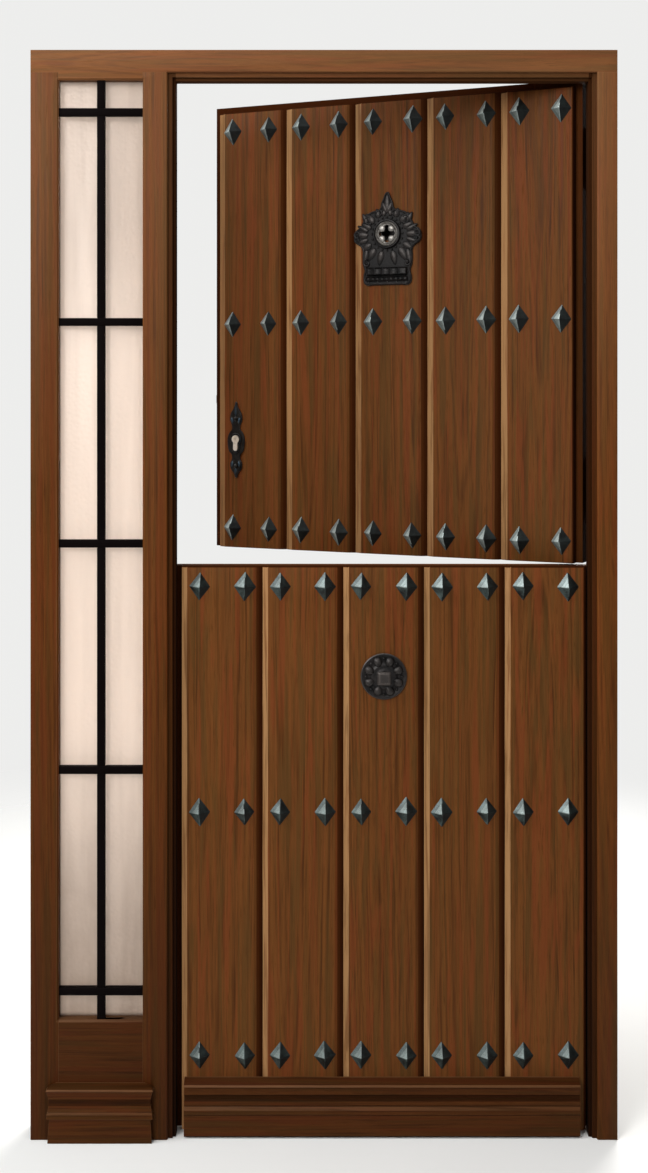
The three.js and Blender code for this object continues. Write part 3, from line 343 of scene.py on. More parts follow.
    def round_edges(self, radius: float, least: float = CRISP, segments: int = 2,
                    keep: Callable[[bmesh.types.BMEdge], bool] | None = None) -> None:
        """Round the sharp edges.

        Args:
            radius: Width of the rounding.
            least: Only edges that turn by more degrees than this are rounded.
            segments: Facets across the rounding.
            keep: Chooses among the sharp edges, or None for all of them.
        """
        wear_and_painted_light = self.wear_and_painted_light
        edges = [e for e in self.bm.edges if e.is_manifold
                 and e.calc_face_angle(0.0) > math.radians(least) and (keep is None or keep(e))]
        made = bmesh.ops.bevel(self.bm, geom=edges, affect="EDGES", offset=radius, offset_type="OFFSET",
                               segments=segments, profile=0.5, material=-1, clamp_overlap=True)
        # The rounded faces are marked pale: edges worn by use, and painted highlights where an edge catches
        # the light.
        for face in made["faces"]:
            face[wear_and_painted_light] = 1.0

    def jog(self, verts: Iterable, amount: float, scale: float) -> None:
        """Push vertices about by up to an amount; the larger the scale, the finer the unevenness."""
        for vert in verts:
            vert.co += noise.noise_vector(vert.co * scale) * amount

    def mesh(self, name: str) -> bpy.types.Mesh:
        """Turn the blank into a mesh, and be done with it.

        Args:
            name: The mesh's name.

        Returns:
            The mesh.
        """
        mesh = bpy.data.meshes.new(name)
        self.bm.to_mesh(mesh)
        self.bm.free()
        return mesh

    def finish(self, name: str, place: Matrix | None = None, smooth: float = CRISP) -> bpy.types.Object:
        """Make the object.

        Args:
            name: The piece's name.
            place: Moves the mesh to its rest place, or None where it is already there.
            smooth: Edges that turn by more degrees than this stay crisp.

        Returns:
            The object, at the origin with its place in its mesh.
        """
        if place is not None:
            bmesh.ops.transform(self.bm, matrix=place, verts=self.bm.verts)
        mesh = self.mesh(name)
        mesh.polygons.foreach_set("use_smooth", [True] * len(mesh.polygons))
        mesh.set_sharp_from_angle(angle=math.radians(smooth))
        piece = bpy.data.objects.new(name, mesh)
        bpy.context.scene.collection.objects.link(piece)
        return piece


def casting(rings: Sequence[Sequence[tuple[float, float]]], thickness: float, edge: float,
            resolution: int = 6, sunk: float = 0.0) -> bpy.types.Mesh:
    """Make a flat plate with eased edges from smooth closed outlines.

    Args:
        rings: The outer outline first, then its holes, each as points in the plate's plane.
        thickness: Plate thickness; the plate's back lies at height 0.
        edge: Width of the eased edge.
        resolution: Steps between two points of an outline.
        sunk: How much darker the flat of the plate is painted than its edges and its ornament, as painted
            shade.

    Returns:
        The plate's mesh.
    """
    curve = bpy.data.curves.new("outline", "CURVE")
    curve.dimensions = "2D"
    curve.fill_mode = "BOTH"
    curve.resolution_u = resolution
    curve.extrude = thickness / 2 - edge
    curve.bevel_depth = edge
    curve.bevel_resolution = 1
    curve.offset = -edge
    for ring in rings:
        spline = curve.splines.new("BEZIER")
        spline.bezier_points.add(len(ring) - 1)
        for point, (u, v) in zip(spline.bezier_points, ring):
            point.co = (u, v, 0.0)
            point.handle_left_type = point.handle_right_type = "AUTO"
        spline.use_cyclic_u = True
    mesh = curve_mesh(curve)
    mesh.transform(Matrix.Translation((0, 0, thickness / 2)))
    # Painted light: sloping faces are marked pale as worn edges and painted highlights, and the flat is
    # painted dark as shade.
    wear_and_painted_light = mesh.attributes.new("wear_and_painted_light", "FLOAT", "FACE")
    slopes = [f.normal.z for f in mesh.polygons]
    wear_and_painted_light.data.foreach_set("value", [float(0.15 < z < 0.9) - sunk * float(z >= 0.9) for z in slopes])
    return mesh


def curve_mesh(curve: bpy.types.Curve) -> bpy.types.Mesh:
    """Turn a curve into a mesh.

    Args:
        curve: The curve, with its bevel and its fill.

    Returns:
        The mesh.
    """
    holder = bpy.data.objects.new(curve.name, curve)
    bpy.context.scene.collection.objects.link(holder)
    mesh = bpy.data.meshes.new_from_object(holder.evaluated_get(bpy.context.evaluated_depsgraph_get()))
    bpy.data.objects.remove(holder)
    return mesh


def swept(points: Sequence[Sequence[float]], radii: Sequence[float],
          closed: bool = False) -> bpy.types.Mesh:
    """Make a round bar that follows a smooth line and changes its thickness.

    Args:
        points: The line of the bar.
        radii: The bar's radius at each point.
        closed: True where the line comes back to its start.

    Returns:
        The bar's mesh, with closed ends.
    """
    curve = bpy.data.curves.new("bar", "CURVE")
    curve.dimensions = "3D"
    curve.bevel_depth = 1.0
    curve.bevel_resolution = 2
    curve.resolution_u = 4
    curve.use_fill_caps = True
    spline = curve.splines.new("BEZIER")
    spline.bezier_points.add(len(points) - 1)
    for node, co, radius in zip(spline.bezier_points, points, radii):
        node.co = co
        node.radius = radius
        node.handle_left_type = node.handle_right_type = "AUTO"
    spline.use_cyclic_u = closed
    return curve_mesh(curve)


def cut(piece: bpy.types.Object, cutter: bpy.types.Object) -> None:
    """Cut one object's shape out of another, and throw the cutter away.

    Args:
        piece: The piece that is cut.
        cutter: The shape that is taken away.
    """
    boolean = piece.modifiers.new("cut", "BOOLEAN")
    boolean.operation = "DIFFERENCE"
    boolean.solver = "EXACT"
    boolean.object = cutter
    shaped = bpy.data.meshes.new_from_object(
        piece.evaluated_get(bpy.context.evaluated_depsgraph_get()))
    piece.modifiers.clear()
    old, piece.data = piece.data, shaped
    bpy.data.meshes.remove(old)
    bpy.data.objects.remove(cutter)


def softened(node: str, radius: float, least: float = CRISP,
             keep: Callable[[bmesh.types.BMEdge], bool] | None = None,
             flats: bool = True) -> bpy.types.Object:
    """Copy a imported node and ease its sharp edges, as a plane, a file or a mould leaves them.

    Args:
        node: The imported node.
        radius: Width of the eased edges.
        least: Only edges that turn by more degrees than this are eased.
        keep: Chooses among the sharp edges, or None for all of them.
        flats: False for a board whose sockets would fold its joined flat faces.

    Returns:
        The eased copy.
    """
    blank = Blank()
    blank.take(bpy.data.objects[node].data, Matrix.Identity(4))
    blank.merge(flats)
    blank.round_edges(radius, least, keep=keep)
    return blank.finish(f"{node}.eased")


def wear_and_light_attribute(piece: bpy.types.Object) -> bpy.types.Attribute:
    """Give a piece's attribute that marks its faces: pale above 0, as worn edges and painted highlights, and
    painted shade below 0.
    """
    return piece.data.attributes.get("wear_and_painted_light") or piece.data.attributes.new("wear_and_painted_light", "FLOAT", "FACE")


def paint_light_by_facing(piece: bpy.types.Object, level: Callable[[Vector], float | None],
         turn: Matrix | None = None) -> None:
    """Paint light and shade on the faces of a piece by the way they face.

    Args:
        piece: The piece.
        level: Gives the painted light of a face with this normal, pale above 0 and shade below, or None to
            leave it as it is.
        turn: Takes a normal from the rest place to where the piece was made, or None if they agree.
    """
    spin = (turn or Matrix.Identity(4)).to_3x3()
    for polygon, mark in zip(piece.data.polygons, wear_and_light_attribute(piece).data):
        value = level(spin @ polygon.normal)
        if value is not None:
            mark.value = value


def climb(edge: bmesh.types.BMEdge) -> float:
    """Give how far an edge rises from one end to the other."""
    return abs(edge.verts[0].co.z - edge.verts[1].co.z)


def face_place(x: float, y: float, z: float, inward: bool = False) -> Matrix:
    """Make a place on an upright face: its X runs right, its Y up and its Z away from the face.

    Args:
        x: Across the wall.
        y: The face.
        z: Up.
        inward: True on the room side of the door.

    Returns:
        The place, for pieces drawn flat with their height along Z.
    """
    if inward:
        axes = ((-1, 0, 0), (0, 0, 1), (0, 1, 0))
    else:
        axes = ((1, 0, 0), (0, 0, 1), (0, -1, 0))
    columns = Matrix(axes).transposed().to_4x4()
    return Matrix.Translation((x, y, z)) @ columns


# ---- Grain ----


def at(place: Matrix, u: float, v: float, w: float, turn: float = 0.0) -> Matrix:
    """Give a place on a casting: right, up and outwards in millimetres, turned left by degrees."""
    spin = Matrix.Rotation(math.radians(turn), 4, "Z")
    return place @ Matrix.Translation((u * MM, v * MM, w * MM)) @ spin


@dataclass
class Timber:
    """Marks boards with how they were sawn, so that one finish suits every board.

    Attributes:
        flat_aside: How far the heart may lie beside a board sawn flat.
        flat_under: How far it may lie under its face.
        quarter_aside: How far it lies beside a board sawn on the quarter.
        quarter_under: How far it then lies under the face.
        lean: How fast the heart comes nearer along a board.
        log: Length of the log that boards are taken from.
    """

    seed: int = 11
    flat_aside: float = 0.03
    flat_under: tuple[float, float] = (0.008, 0.03)
    quarter_aside: tuple[float, float] = (0.16, 0.3)
    quarter_under: tuple[float, float] = (0.02, 0.1)
    lean: tuple[float, float] = (0.02, 0.045)
    log: float = 40.0
    dice: random.Random = field(init=False)

    def __post_init__(self) -> None:
        """Seed the choice of boards."""
        self.dice = random.Random(self.seed)

    def saw(self, piece: bpy.types.Object, grain: Grain, middle: Vector, from_rest: Matrix | None = None,
            arched: bool = True, tone: float | None = None) -> None:
        """Give every point of a board its place in the log it was sawn from.

        Args:
            piece: The board.
            grain: The way its fibres run.
            middle: The middle of the board's face, where it was made.
            from_rest: Takes a point from the rest place to where it was made, or None if they agree.
            arched: True for a board sawn flat, whose rings draw arches; False for straight lines.
            tone: How light the board is, or None to choose between 0 and 1 by chance.
        """
        dice = self.dice
        if arched:
            aside = dice.uniform(-self.flat_aside, self.flat_aside)
            under = dice.uniform(*self.flat_under)
        else:
            aside = dice.choice((-1, 1)) * dice.uniform(*self.quarter_aside)
            under = dice.uniform(*self.quarter_under)
        lean = dice.choice((-1, 1)) * dice.uniform(*self.lean)
        far = dice.uniform(0.0, self.log)
        mesh = piece.data
        place = mesh.attributes.new("grain", "FLOAT_VECTOR", "POINT")
        back = from_rest or Matrix.Identity(4)
        for vert, mark in zip(mesh.vertices, place.data):
            p = back @ vert.co - middle
            across, along = (p.x, p.z) if grain is Grain.UPRIGHT else (p.z, p.x)
            mark.vector = (across + aside, p.y + under + lean * along, along + far)
        level = dice.random() if tone is None else tone
        tones = mesh.attributes.new("tone", "FLOAT", "POINT")
        tones.data.foreach_set("value", [level] * len(mesh.vertices))


# ---- Shader nodes ----


class Desk:
    """Lays out and wires shader nodes in one tree."""

    def __init__(self, tree: bpy.types.NodeTree) -> None:
        """Take the node tree to work on."""
        self.tree = tree

    def add(self, kind: str, inputs: dict | None = None, **settings: object) -> bpy.types.Node:
        """Add a node.

        Args:
            kind: Its type without the leading ShaderNode.
            inputs: Values or sockets for its inputs, by name or number.
            **settings: Its properties.

        Returns:
            The node.
        """
        node = self.tree.nodes.new(f"ShaderNode{kind}")
        for key, value in settings.items():
            setattr(node, key, value)
        for key, value in (inputs or {}).items():
            if isinstance(value, bpy.types.NodeSocket):
                self.tree.links.new(value, node.inputs[key])
            else:
                node.inputs[key].default_value = value
        return node

    def maths(self, operation: str, *values: object, clamp: bool = False) -> bpy.types.NodeSocket:
        """Add a Math node with its inputs in order, and give its value."""
        inputs = dict(enumerate(values))
        return self.add("Math", inputs, operation=operation, use_clamp=clamp).outputs[0]

    def vector(self, operation: str, *values: object) -> bpy.types.NodeSocket:
        """Add a Vector Math node, and give its vector, or its number where it measures a length."""
        node = self.add("VectorMath", dict(enumerate(values)), operation=operation)
        return node.outputs["Value" if operation == "LENGTH" else "Vector"]

    def clouds(self, where: bpy.types.NodeSocket, scale: float, detail: float = 3.0, rough: float = 0.55,
               warp: float = 0.0) -> bpy.types.NodeSocket:
        """Add a noise texture.

        Args:
            where: The vector it reads.
            scale: Its scale, per metre.
            detail: Finer layers.
            rough: Strength of the finer layers.
            warp: How much it is twisted.

        Returns:
            The noise from 0 to 1.
        """
        return self.add("TexNoise", {"Vector": where, "Scale": scale, "Detail": detail, "Roughness": rough,
                                     "Distortion": warp}).outputs["Fac"]

    def spread(self, value: bpy.types.NodeSocket, low: float, high: float, to_low: float = 0.0,
               to_high: float = 1.0) -> bpy.types.NodeSocket:
        """Add a smooth Map Range.

        Args:
            value: What is mapped.
            low: The value that becomes to_low.
            high: The value that becomes to_high.
            to_low: The first new value.
            to_high: The second new value.

        Returns:
            The mapped value.
        """
        return self.add("MapRange", {"Value": value, "From Min": low, "From Max": high, "To Min": to_low,
                                     "To Max": to_high}, interpolation_type="SMOOTHSTEP").outputs[0]

    def blend(self, amount: object, first: object, second: object, how: str = "MIX") -> bpy.types.NodeSocket:
        """Mix two colours by a share, from 0 for the first to 1 for the second."""
        node = self.add("Mix", {0: amount, 6: first, 7: second}, data_type="RGBA", blend_type=how)
        return node.outputs[2]

    def bump(self, height: bpy.types.NodeSocket, strength: float, distance: float) -> bpy.types.NodeSocket:
        """Give a normal for a height of 0 to 1, with its strength and its size in metres."""
        return self.add("Bump", {"Height": height, "Strength": strength, "Distance": distance}).outputs[0]


def group(name: str, inputs: dict[str, tuple[str, object]], outputs: dict[str, str],
          wire: Callable[[Desk, bpy.types.Node], dict[str, bpy.types.NodeSocket]]) -> bpy.types.NodeTree:
    """Make a shader node group.

    Args:
        name: Its name.
        inputs: Each input's kind and first value.
        outputs: Each output's kind.
        wire: Wires the inside, and returns the socket of each output.

    Returns:
        The group.
    """
    tree = bpy.data.node_groups.new(name, "ShaderNodeTree")
    for label, (kind, value) in inputs.items():
        socket = tree.interface.new_socket(label, in_out="INPUT", socket_type=f"NodeSocket{kind}")
        if value is not None:
            socket.default_value = value
    for label, kind in outputs.items():
        tree.interface.new_socket(label, in_out="OUTPUT", socket_type=f"NodeSocket{kind}")
    entry = tree.nodes.new("NodeGroupInput")
    leave = tree.nodes.new("NodeGroupOutput")
    for label, socket in wire(Desk(tree), entry).items():
        tree.links.new(socket, leave.inputs[label])
    return tree


def wire_figure(desk: Desk, entry: bpy.types.Node) -> dict[str, bpy.types.NodeSocket]:
    """Wire oak's figure: growth rings, fibres, pores and the stain's drift from red to olive.

    Args:
        desk: The inside of the group.
        entry: The group's inputs.

    Returns:
        Rings, Fibres, Pores, Hue and Height.
    """
    where = entry.outputs["Place"]
    slow = desk.vector("MULTIPLY", where, (11.0, 11.0, 1.6))
    sway = desk.maths("MULTIPLY", desk.maths("SUBTRACT", desk.clouds(slow, 1.0, 3.0), 0.5),
                      entry.outputs["Sway"])
    flat = desk.vector("MULTIPLY", where, (1.0, 1.0, 0.0))
    radius = desk.maths("ADD", desk.vector("LENGTH", flat), sway)
    count = desk.maths("DIVIDE", radius, entry.outputs["Ring"])
    years = desk.add("TexNoise", {"W": count, "Scale": 1.0, "Detail": 2.0, "Roughness": 0.7},
                     noise_dimensions="1D").outputs["Fac"]
    rings = desk.spread(years, 0.36, 0.64)
    streaks = desk.clouds(desk.vector("MULTIPLY", where, (150.0, 150.0, 3.0)), 1.0, 4.0, 0.65, 0.3)
    fibres = desk.spread(streaks, 0.34, 0.64)
    pore_place = desk.vector("MULTIPLY", where, (620.0, 620.0, 24.0))
    pores = desk.spread(desk.clouds(pore_place, 1.0, 2.0, 0.5), 0.56, 0.7)
    pores = desk.maths("MULTIPLY", pores, desk.maths("MULTIPLY_ADD", rings, 0.6, 0.4))
    drift = desk.clouds(desk.vector("MULTIPLY", where, (75.0, 75.0, 2.1)), 1.0, 2.0, 0.55, 0.6)
    hue = desk.spread(drift, 0.3, 0.7)
    ribs = desk.maths("MULTIPLY_ADD", rings, 0.45, desk.maths("MULTIPLY", fibres, 0.35))
    height = desk.maths("SUBTRACT", ribs, desk.maths("MULTIPLY", pores, 0.6))
    return {"Rings": rings, "Fibres": fibres, "Pores": pores, "Hue": hue, "Height": height}


def wire_hammering(desk: Desk, entry: bpy.types.Node) -> dict[str, bpy.types.NodeSocket]:
    """Wire forged iron: the flats a hammer leaves, and the bite of the scale.

    Args:
        desk: The inside of the group.
        entry: The group's inputs.

    Returns:
        Flats, Scale and Height.
    """
    where = entry.outputs["Place"]
    cells = desk.add("TexVoronoi", {"Vector": where, "Scale": entry.outputs["Blows"], "Smoothness": 0.6},
                     feature="SMOOTH_F1").outputs["Distance"]
    scale = desk.clouds(where, 900.0, 4.0, 0.6)
    patches = desk.clouds(where, 45.0, 3.0, 0.6, 0.3)
    height = desk.maths("MULTIPLY_ADD", scale, 0.22, cells)
    return {"Flats": patches, "Scale": scale, "Height": height}


# ---- Finishes ----

Colour = tuple[float, float, float, float]


def shade(red: int, green: int, blue: int) -> Colour:
    """Turn a colour as it is seen on a screen into the shader's linear colour.

    Args:
        red: 0 to 255.
        green: 0 to 255.
        blue: 0 to 255.

    Returns:
        The linear colour.
    """
    def linear(value: int) -> float:
        """Undo the screen's curve for one channel."""
        part = value / 255
        return part / 12.92 if part <= 0.04045 else ((part + 0.055) / 1.055) ** 2.4

    return (linear(red), linear(green), linear(blue), 1.0)


@dataclass(frozen=True)
class Oak:
    """Stained and varnished oak.

    Attributes:
        dark: Pores and the darkest fibres.
        middle: The other fibres.
        light: Growth rings.
        red: Where the stain drifts to red.
        olive: Where it drifts to olive.
        pale_wear_and_highlight: Edges paled by use, and faces painted pale as highlights.
        ring: Width of a growth ring.
        sway: How far the rings wander.
        wear_and_painted_light: How far a face marked pale goes to its pale colour.
        deep: Painted shade in joints, in corners and on faces turned from the light.
        pale: The painted light that the head is veiled toward.
        levels: How light the wood is painted at the foot, the waist and the head, as painted light.
        tones: How light the darkest board is, and how much lighter the lightest.
    """

    name: str
    dark: Colour
    middle: Colour
    light: Colour
    red: Colour
    olive: Colour
    pale_wear_and_highlight: Colour
    ring: float = 0.009
    sway: float = 0.022
    roughness: float = 0.52
    wear_and_painted_light: float = 0.85
    deep: Colour = shade(48, 18, 1)
    pale: Colour = shade(158, 128, 98)
    # Painted light: how far the head is veiled toward the pale colour.
    top_light_veil: float = 0.0
    levels: tuple[float, float, float] = (0.9, 1.0, 1.0)
    waist: float = 1.1
    head: float = 2.1
    tones: tuple[float, float] = (0.88, 0.24)
    specular: float = 0.06

    def make(self, groups: dict[str, bpy.types.NodeTree]) -> bpy.types.Material:
        """Build the material.

        Args:
            groups: The shared node groups.

        Returns:
            The material.
        """
        material, desk, shader = blank_material(self.name)
        place = desk.add("Attribute", attribute_name="grain").outputs["Vector"]
        figure = desk.add("Group", node_tree=groups["figure"])
        desk.tree.links.new(place, figure.inputs["Place"])
        figure.inputs["Ring"].default_value = self.ring
        figure.inputs["Sway"].default_value = self.sway
        up = desk.add("SeparateXYZ", {0: desk.add("TexCoord").outputs["Object"]}).outputs["Z"]
        wear_and_painted_light = desk.add("Attribute", attribute_name="wear_and_painted_light").outputs["Fac"]
        # Painted light: faces marked below 0 take painted shade, and the head is veiled pale as painted
        # light.
        painted_shade = desk.maths("MULTIPLY", wear_and_painted_light, -0.95, clamp=True)
        top_light = desk.spread(up, self.waist, self.head, 0.0, self.top_light_veil)
        top_lit = desk.blend(top_light, self.stain(desk, figure), self.pale)
        colour = self.pale_and_shade(desk, top_lit, wear_and_painted_light, painted_shade, figure.outputs["Fibres"])
        level = desk.maths("MULTIPLY", self.board_tone(desk), self.light_by_height(desk, up))
        grey = desk.add("CombineColor", {0: level, 1: level, 2: level}).outputs[0]
        colour = desk.blend(1.0, colour, grey, "MULTIPLY")
        desk.tree.links.new(colour, shader.inputs["Base Color"])
        gloss = desk.maths("MULTIPLY_ADD", figure.outputs["Fibres"], 0.14, self.roughness - 0.07)
        gloss = desk.maths("MULTIPLY_ADD", figure.outputs["Pores"], 0.2, gloss)
        gloss = desk.maths("MULTIPLY_ADD", painted_shade, 0.45, gloss, clamp=True)
        desk.tree.links.new(gloss, shader.inputs["Roughness"])
        desk.tree.links.new(desk.bump(figure.outputs["Height"], 0.6, 0.0005), shader.inputs["Normal"])
        shader.inputs["Specular IOR Level"].default_value = self.specular
        return material

    def stain(self, desk: Desk, figure: bpy.types.Node) -> bpy.types.NodeSocket:
        """Colour the wood by its figure.

        Args:
            desk: The material's nodes.
            figure: The wood's figure.

        Returns:
            The colour.
        """
        colour = desk.blend(figure.outputs["Fibres"], self.dark, self.middle)
        colour = desk.blend(desk.maths("MULTIPLY", figure.outputs["Rings"], 0.65), colour, self.light)
        hue = figure.outputs["Hue"]
        colour = desk.blend(desk.spread(hue, 0.55, 1.0, 0.0, 0.6), colour, self.red)
        colour = desk.blend(desk.spread(hue, 0.0, 0.4, 0.55, 0.0), colour, self.olive)
        return desk.blend(desk.maths("MULTIPLY", figure.outputs["Pores"], 0.5), colour, self.dark)

    def pale_and_shade(self, desk: Desk, colour: bpy.types.NodeSocket, wear_and_painted_light: bpy.types.NodeSocket,
                painted_shade: bpy.types.NodeSocket, fibres: bpy.types.NodeSocket) -> bpy.types.NodeSocket:
        """Pale the wood as worn edges and painted highlights, and darken it as painted shade.

        Args:
            desk: The material's nodes.
            colour: The stained wood.
            wear_and_painted_light: How pale it is marked; below 0 where shade is painted.
            painted_shade: How much shade is painted.
            fibres: The wood's fibres, which break the pale marks up unevenly.

        Returns:
            The colour.
        """
        # The pale colour stands for edges worn by use and for painted highlights.
        worn = desk.maths("MULTIPLY", wear_and_painted_light, desk.spread(fibres, -0.6, 0.8, 0.0, self.wear_and_painted_light), clamp=True)
        return desk.blend(painted_shade, desk.blend(worn, colour, self.pale_wear_and_highlight), self.deep)

    def board_tone(self, desk: Desk) -> bpy.types.NodeSocket:
        """Make some boards a little lighter than others.

        Args:
            desk: The material's nodes.

        Returns:
            How light the board is, round 1.
        """
        darkest, step = self.tones
        tone = desk.add("Attribute", attribute_name="tone").outputs["Fac"]
        return desk.maths("MULTIPLY_ADD", tone, step, darkest)

    def light_by_height(self, desk: Desk, up: bpy.types.NodeSocket) -> bpy.types.NodeSocket:
        """Paint light by height: darken the wood toward the foot of the door and lighten it toward the head.

        Args:
            desk: The material's nodes.
            up: The height over the floor.

        Returns:
            How light the wood is at its height, round 1.
        """
        foot, waist, head = self.levels
        return desk.maths("MULTIPLY", desk.spread(up, 0.0, self.waist, foot / waist, 1.0),
                          desk.spread(up, self.waist, self.head, waist, head))


@dataclass(frozen=True)
class Iron:
    """Forged or cast iron, blackened."""

    name: str
    dark: Colour
    bright: Colour
    edge: Colour
    blows: float = 110.0
    roughness: float = 0.42
    metallic: float = 0.7
    dent: float = 0.0006
    specular: float = 0.5

    def make(self, groups: dict[str, bpy.types.NodeTree]) -> bpy.types.Material:
        """Build the material.

        Args:
            groups: The shared node groups.

        Returns:
            The material.
        """
        material, desk, shader = blank_material(self.name)
        place = desk.add("TexCoord").outputs["Object"]
        forge = desk.add("Group", node_tree=groups["hammering"])
        desk.tree.links.new(place, forge.inputs["Place"])
        forge.inputs["Blows"].default_value = self.blows
        flats, scale = forge.outputs["Flats"], forge.outputs["Scale"]
        mixed = desk.maths("MULTIPLY_ADD", scale, 0.35, desk.maths("MULTIPLY", flats, 0.65))
        colour = desk.blend(desk.spread(mixed, 0.35, 0.7), self.dark, self.bright)
        # Painted light: faces marked above 0 go toward the edge colour, as worn edges and painted highlights,
        # and faces marked below 0 go toward the dark colour, as painted shade.
        wear_and_painted_light = desk.add("Attribute", attribute_name="wear_and_painted_light").outputs["Fac"]
        worn = desk.maths("MULTIPLY", wear_and_painted_light, desk.spread(scale, 0.2, 0.7, 0.2, 0.8), clamp=True)
        colour = desk.blend(worn, colour, self.edge)
        iron_shade = desk.maths("MULTIPLY", wear_and_painted_light, -0.9, clamp=True)
        colour = desk.blend(iron_shade, colour, self.dark)
        desk.tree.links.new(colour, shader.inputs["Base Color"])
        gloss = desk.maths("MULTIPLY_ADD", scale, 0.22, self.roughness - 0.1)
        desk.tree.links.new(desk.maths("MULTIPLY_ADD", iron_shade, 0.25, gloss), shader.inputs["Roughness"])
        shader.inputs["Metallic"].default_value = self.metallic
        shader.inputs["Specular IOR Level"].default_value = self.specular
        desk.tree.links.new(desk.bump(forge.outputs["Height"], 0.5, self.dent), shader.inputs["Normal"])
        return material


@dataclass(frozen=True)
class LockMetal:
    """Bright lock metal with a fine brushed grain."""

    name: str
    colour: Colour
    worn: Colour
    roughness: float
    metallic: float = 1.0

    def make(self, groups: dict[str, bpy.types.NodeTree]) -> bpy.types.Material:
        """Build the material.

        Args:
            groups: The shared node groups; not used.

        Returns:
            The material.
        """
        material, desk, shader = blank_material(self.name)
        place = desk.add("TexCoord").outputs["Object"]
        brushed = desk.clouds(desk.vector("MULTIPLY", place, (300.0, 300.0, 4000.0)), 1.0, 3.0)
        smears = desk.clouds(place, 60.0, 3.0, 0.6)
        colour = desk.blend(desk.spread(smears, 0.4, 0.75), self.colour, self.worn)
        desk.tree.links.new(colour, shader.inputs["Base Color"])
        gloss = desk.maths("MULTIPLY_ADD", brushed, 0.2, self.roughness - 0.08)
        desk.tree.links.new(desk.maths("MULTIPLY_ADD", smears, 0.12, gloss), shader.inputs["Roughness"])
        shader.inputs["Metallic"].default_value = self.metallic
        desk.tree.links.new(desk.bump(brushed, 0.15, 0.0001), shader.inputs["Normal"])
        return material


@dataclass(frozen=True)
class ObscuredGlass:
    """Pale glass with a drawn texture that lets light through and hides what is behind."""

    name: str
    clear: Colour
    clouded: Colour
    roughness: float = 0.35
    transmission: float = 0.7
    ior: float = 1.46

    def make(self, groups: dict[str, bpy.types.NodeTree]) -> bpy.types.Material:
        """Build the material.

        Args:
            groups: The shared node groups; not used.

        Returns:
            The material.
        """
        material, desk, shader = blank_material(self.name)
        place = desk.add("TexCoord").outputs["Object"]
        reeds = desk.clouds(desk.vector("MULTIPLY", place, (42.0, 42.0, 2.4)), 1.0, 3.0, 0.5, 0.6)
        pebbles = desk.add("TexVoronoi", {"Vector": place, "Scale": 130.0, "Smoothness": 0.8},
                           feature="SMOOTH_F1").outputs["Distance"]
        up = desk.add("SeparateXYZ", {0: place}).outputs["Z"]
        low = desk.spread(up, 0.3, 0.85, 0.74, 0.0)
        high = desk.spread(up, 1.45, 1.8, 0.0, 0.4)
        patches = desk.clouds(desk.vector("MULTIPLY", place, (14.0, 14.0, 5.0)), 1.0, 4.0, 0.6, 0.8)
        mottled = desk.maths("MULTIPLY", low, desk.spread(patches, 0.3, 0.7, 0.9, 1.1))
        murk = desk.maths("ADD", desk.maths("ADD", mottled, high), desk.spread(reeds, 0.35, 0.7, 0.0, 0.12))
        colour = desk.blend(murk, self.clear, self.clouded)
        desk.tree.links.new(colour, shader.inputs["Base Color"])
        gloss = desk.maths("MULTIPLY_ADD", reeds, 0.15, self.roughness)
        desk.tree.links.new(gloss, shader.inputs["Roughness"])
        shader.inputs["Transmission Weight"].default_value = self.transmission
        shader.inputs["IOR"].default_value = self.ior
        desk.tree.links.new(desk.bump(pebbles, 0.5, 0.001), shader.inputs["Normal"])
        return material


def blank_material(name: str) -> tuple[bpy.types.Material, Desk, bpy.types.Node]:
    """Start a material.

    Args:
        name: Its name.

    Returns:
        The material, a desk on its nodes and its surface shader.
    """
    material = bpy.data.materials.new(name)
    material.use_nodes = True
    shader = material.node_tree.nodes["Principled BSDF"]
    return material, Desk(material.node_tree), shader


class Finish(Enum):
    """Every finish on the door."""

    PLANKS = Oak("leaf oak", shade(66, 36, 12), shade(93, 54, 23), shade(104, 62, 26),
                 shade(106, 51, 23), shade(76, 53, 23), shade(154, 115, 76))
    # The frame is painted darker toward its foot and lighter toward its head, as painted light, and its deep
    # colour is painted shade.
    FRAME = Oak("frame oak", shade(70, 36, 9), shade(93, 50, 18), shade(101, 57, 21),
                shade(97, 46, 17), shade(77, 49, 17), shade(140, 99, 66), ring=0.006, sway=0.016, wear_and_painted_light=0.6,
                deep=shade(34, 13, 1), top_light_veil=0.1, levels=(0.54, 1.0, 1.14))
    FORGED = Iron("forged iron", shade(18, 23, 24), shade(70, 84, 86), shade(116, 128, 128))
    # The studs' edge colour is their painted highlight.
    STUD = Iron("stud iron", shade(8, 10, 10), shade(80, 94, 92), shade(190, 203, 200), blows=150.0,
                roughness=0.34, metallic=0.35, specular=0.3, dent=0.0004)
    CAST = Iron("cast iron", shade(6, 5, 5), shade(36, 31, 30), shade(80, 73, 69), blows=260.0,
                roughness=0.44, metallic=0.55, dent=0.0004)
    # The eye's iron is paler: worn by use, and painted with highlights.
    EYE = Iron("rubbed iron", shade(70, 66, 62), shade(150, 146, 140), shade(190, 186, 180), blows=300.0,
               roughness=0.42, dent=0.0003)
    BAR = Iron("painted iron bar", shade(4, 1, 1), shade(7, 3, 3), shade(12, 8, 8), blows=60.0,
               roughness=0.7, metallic=0.0, dent=0.0005, specular=0.04)
    # The blued iron's edge colour is a painted blue glint.
    BLUED = Iron("blued iron", shade(15, 11, 9), shade(50, 47, 44), shade(74, 104, 124), blows=140.0,
                 roughness=0.36, metallic=0.75, dent=0.0004)
    STEEL = LockMetal("lock steel", shade(176, 176, 172), shade(132, 130, 124), 0.34)
    NICKEL = LockMetal("bright nickel", shade(232, 222, 206), shade(196, 184, 166), 0.24, 0.55)
    GLASS = ObscuredGlass("obscured glass", shade(252, 233, 218), shade(156, 136, 121))


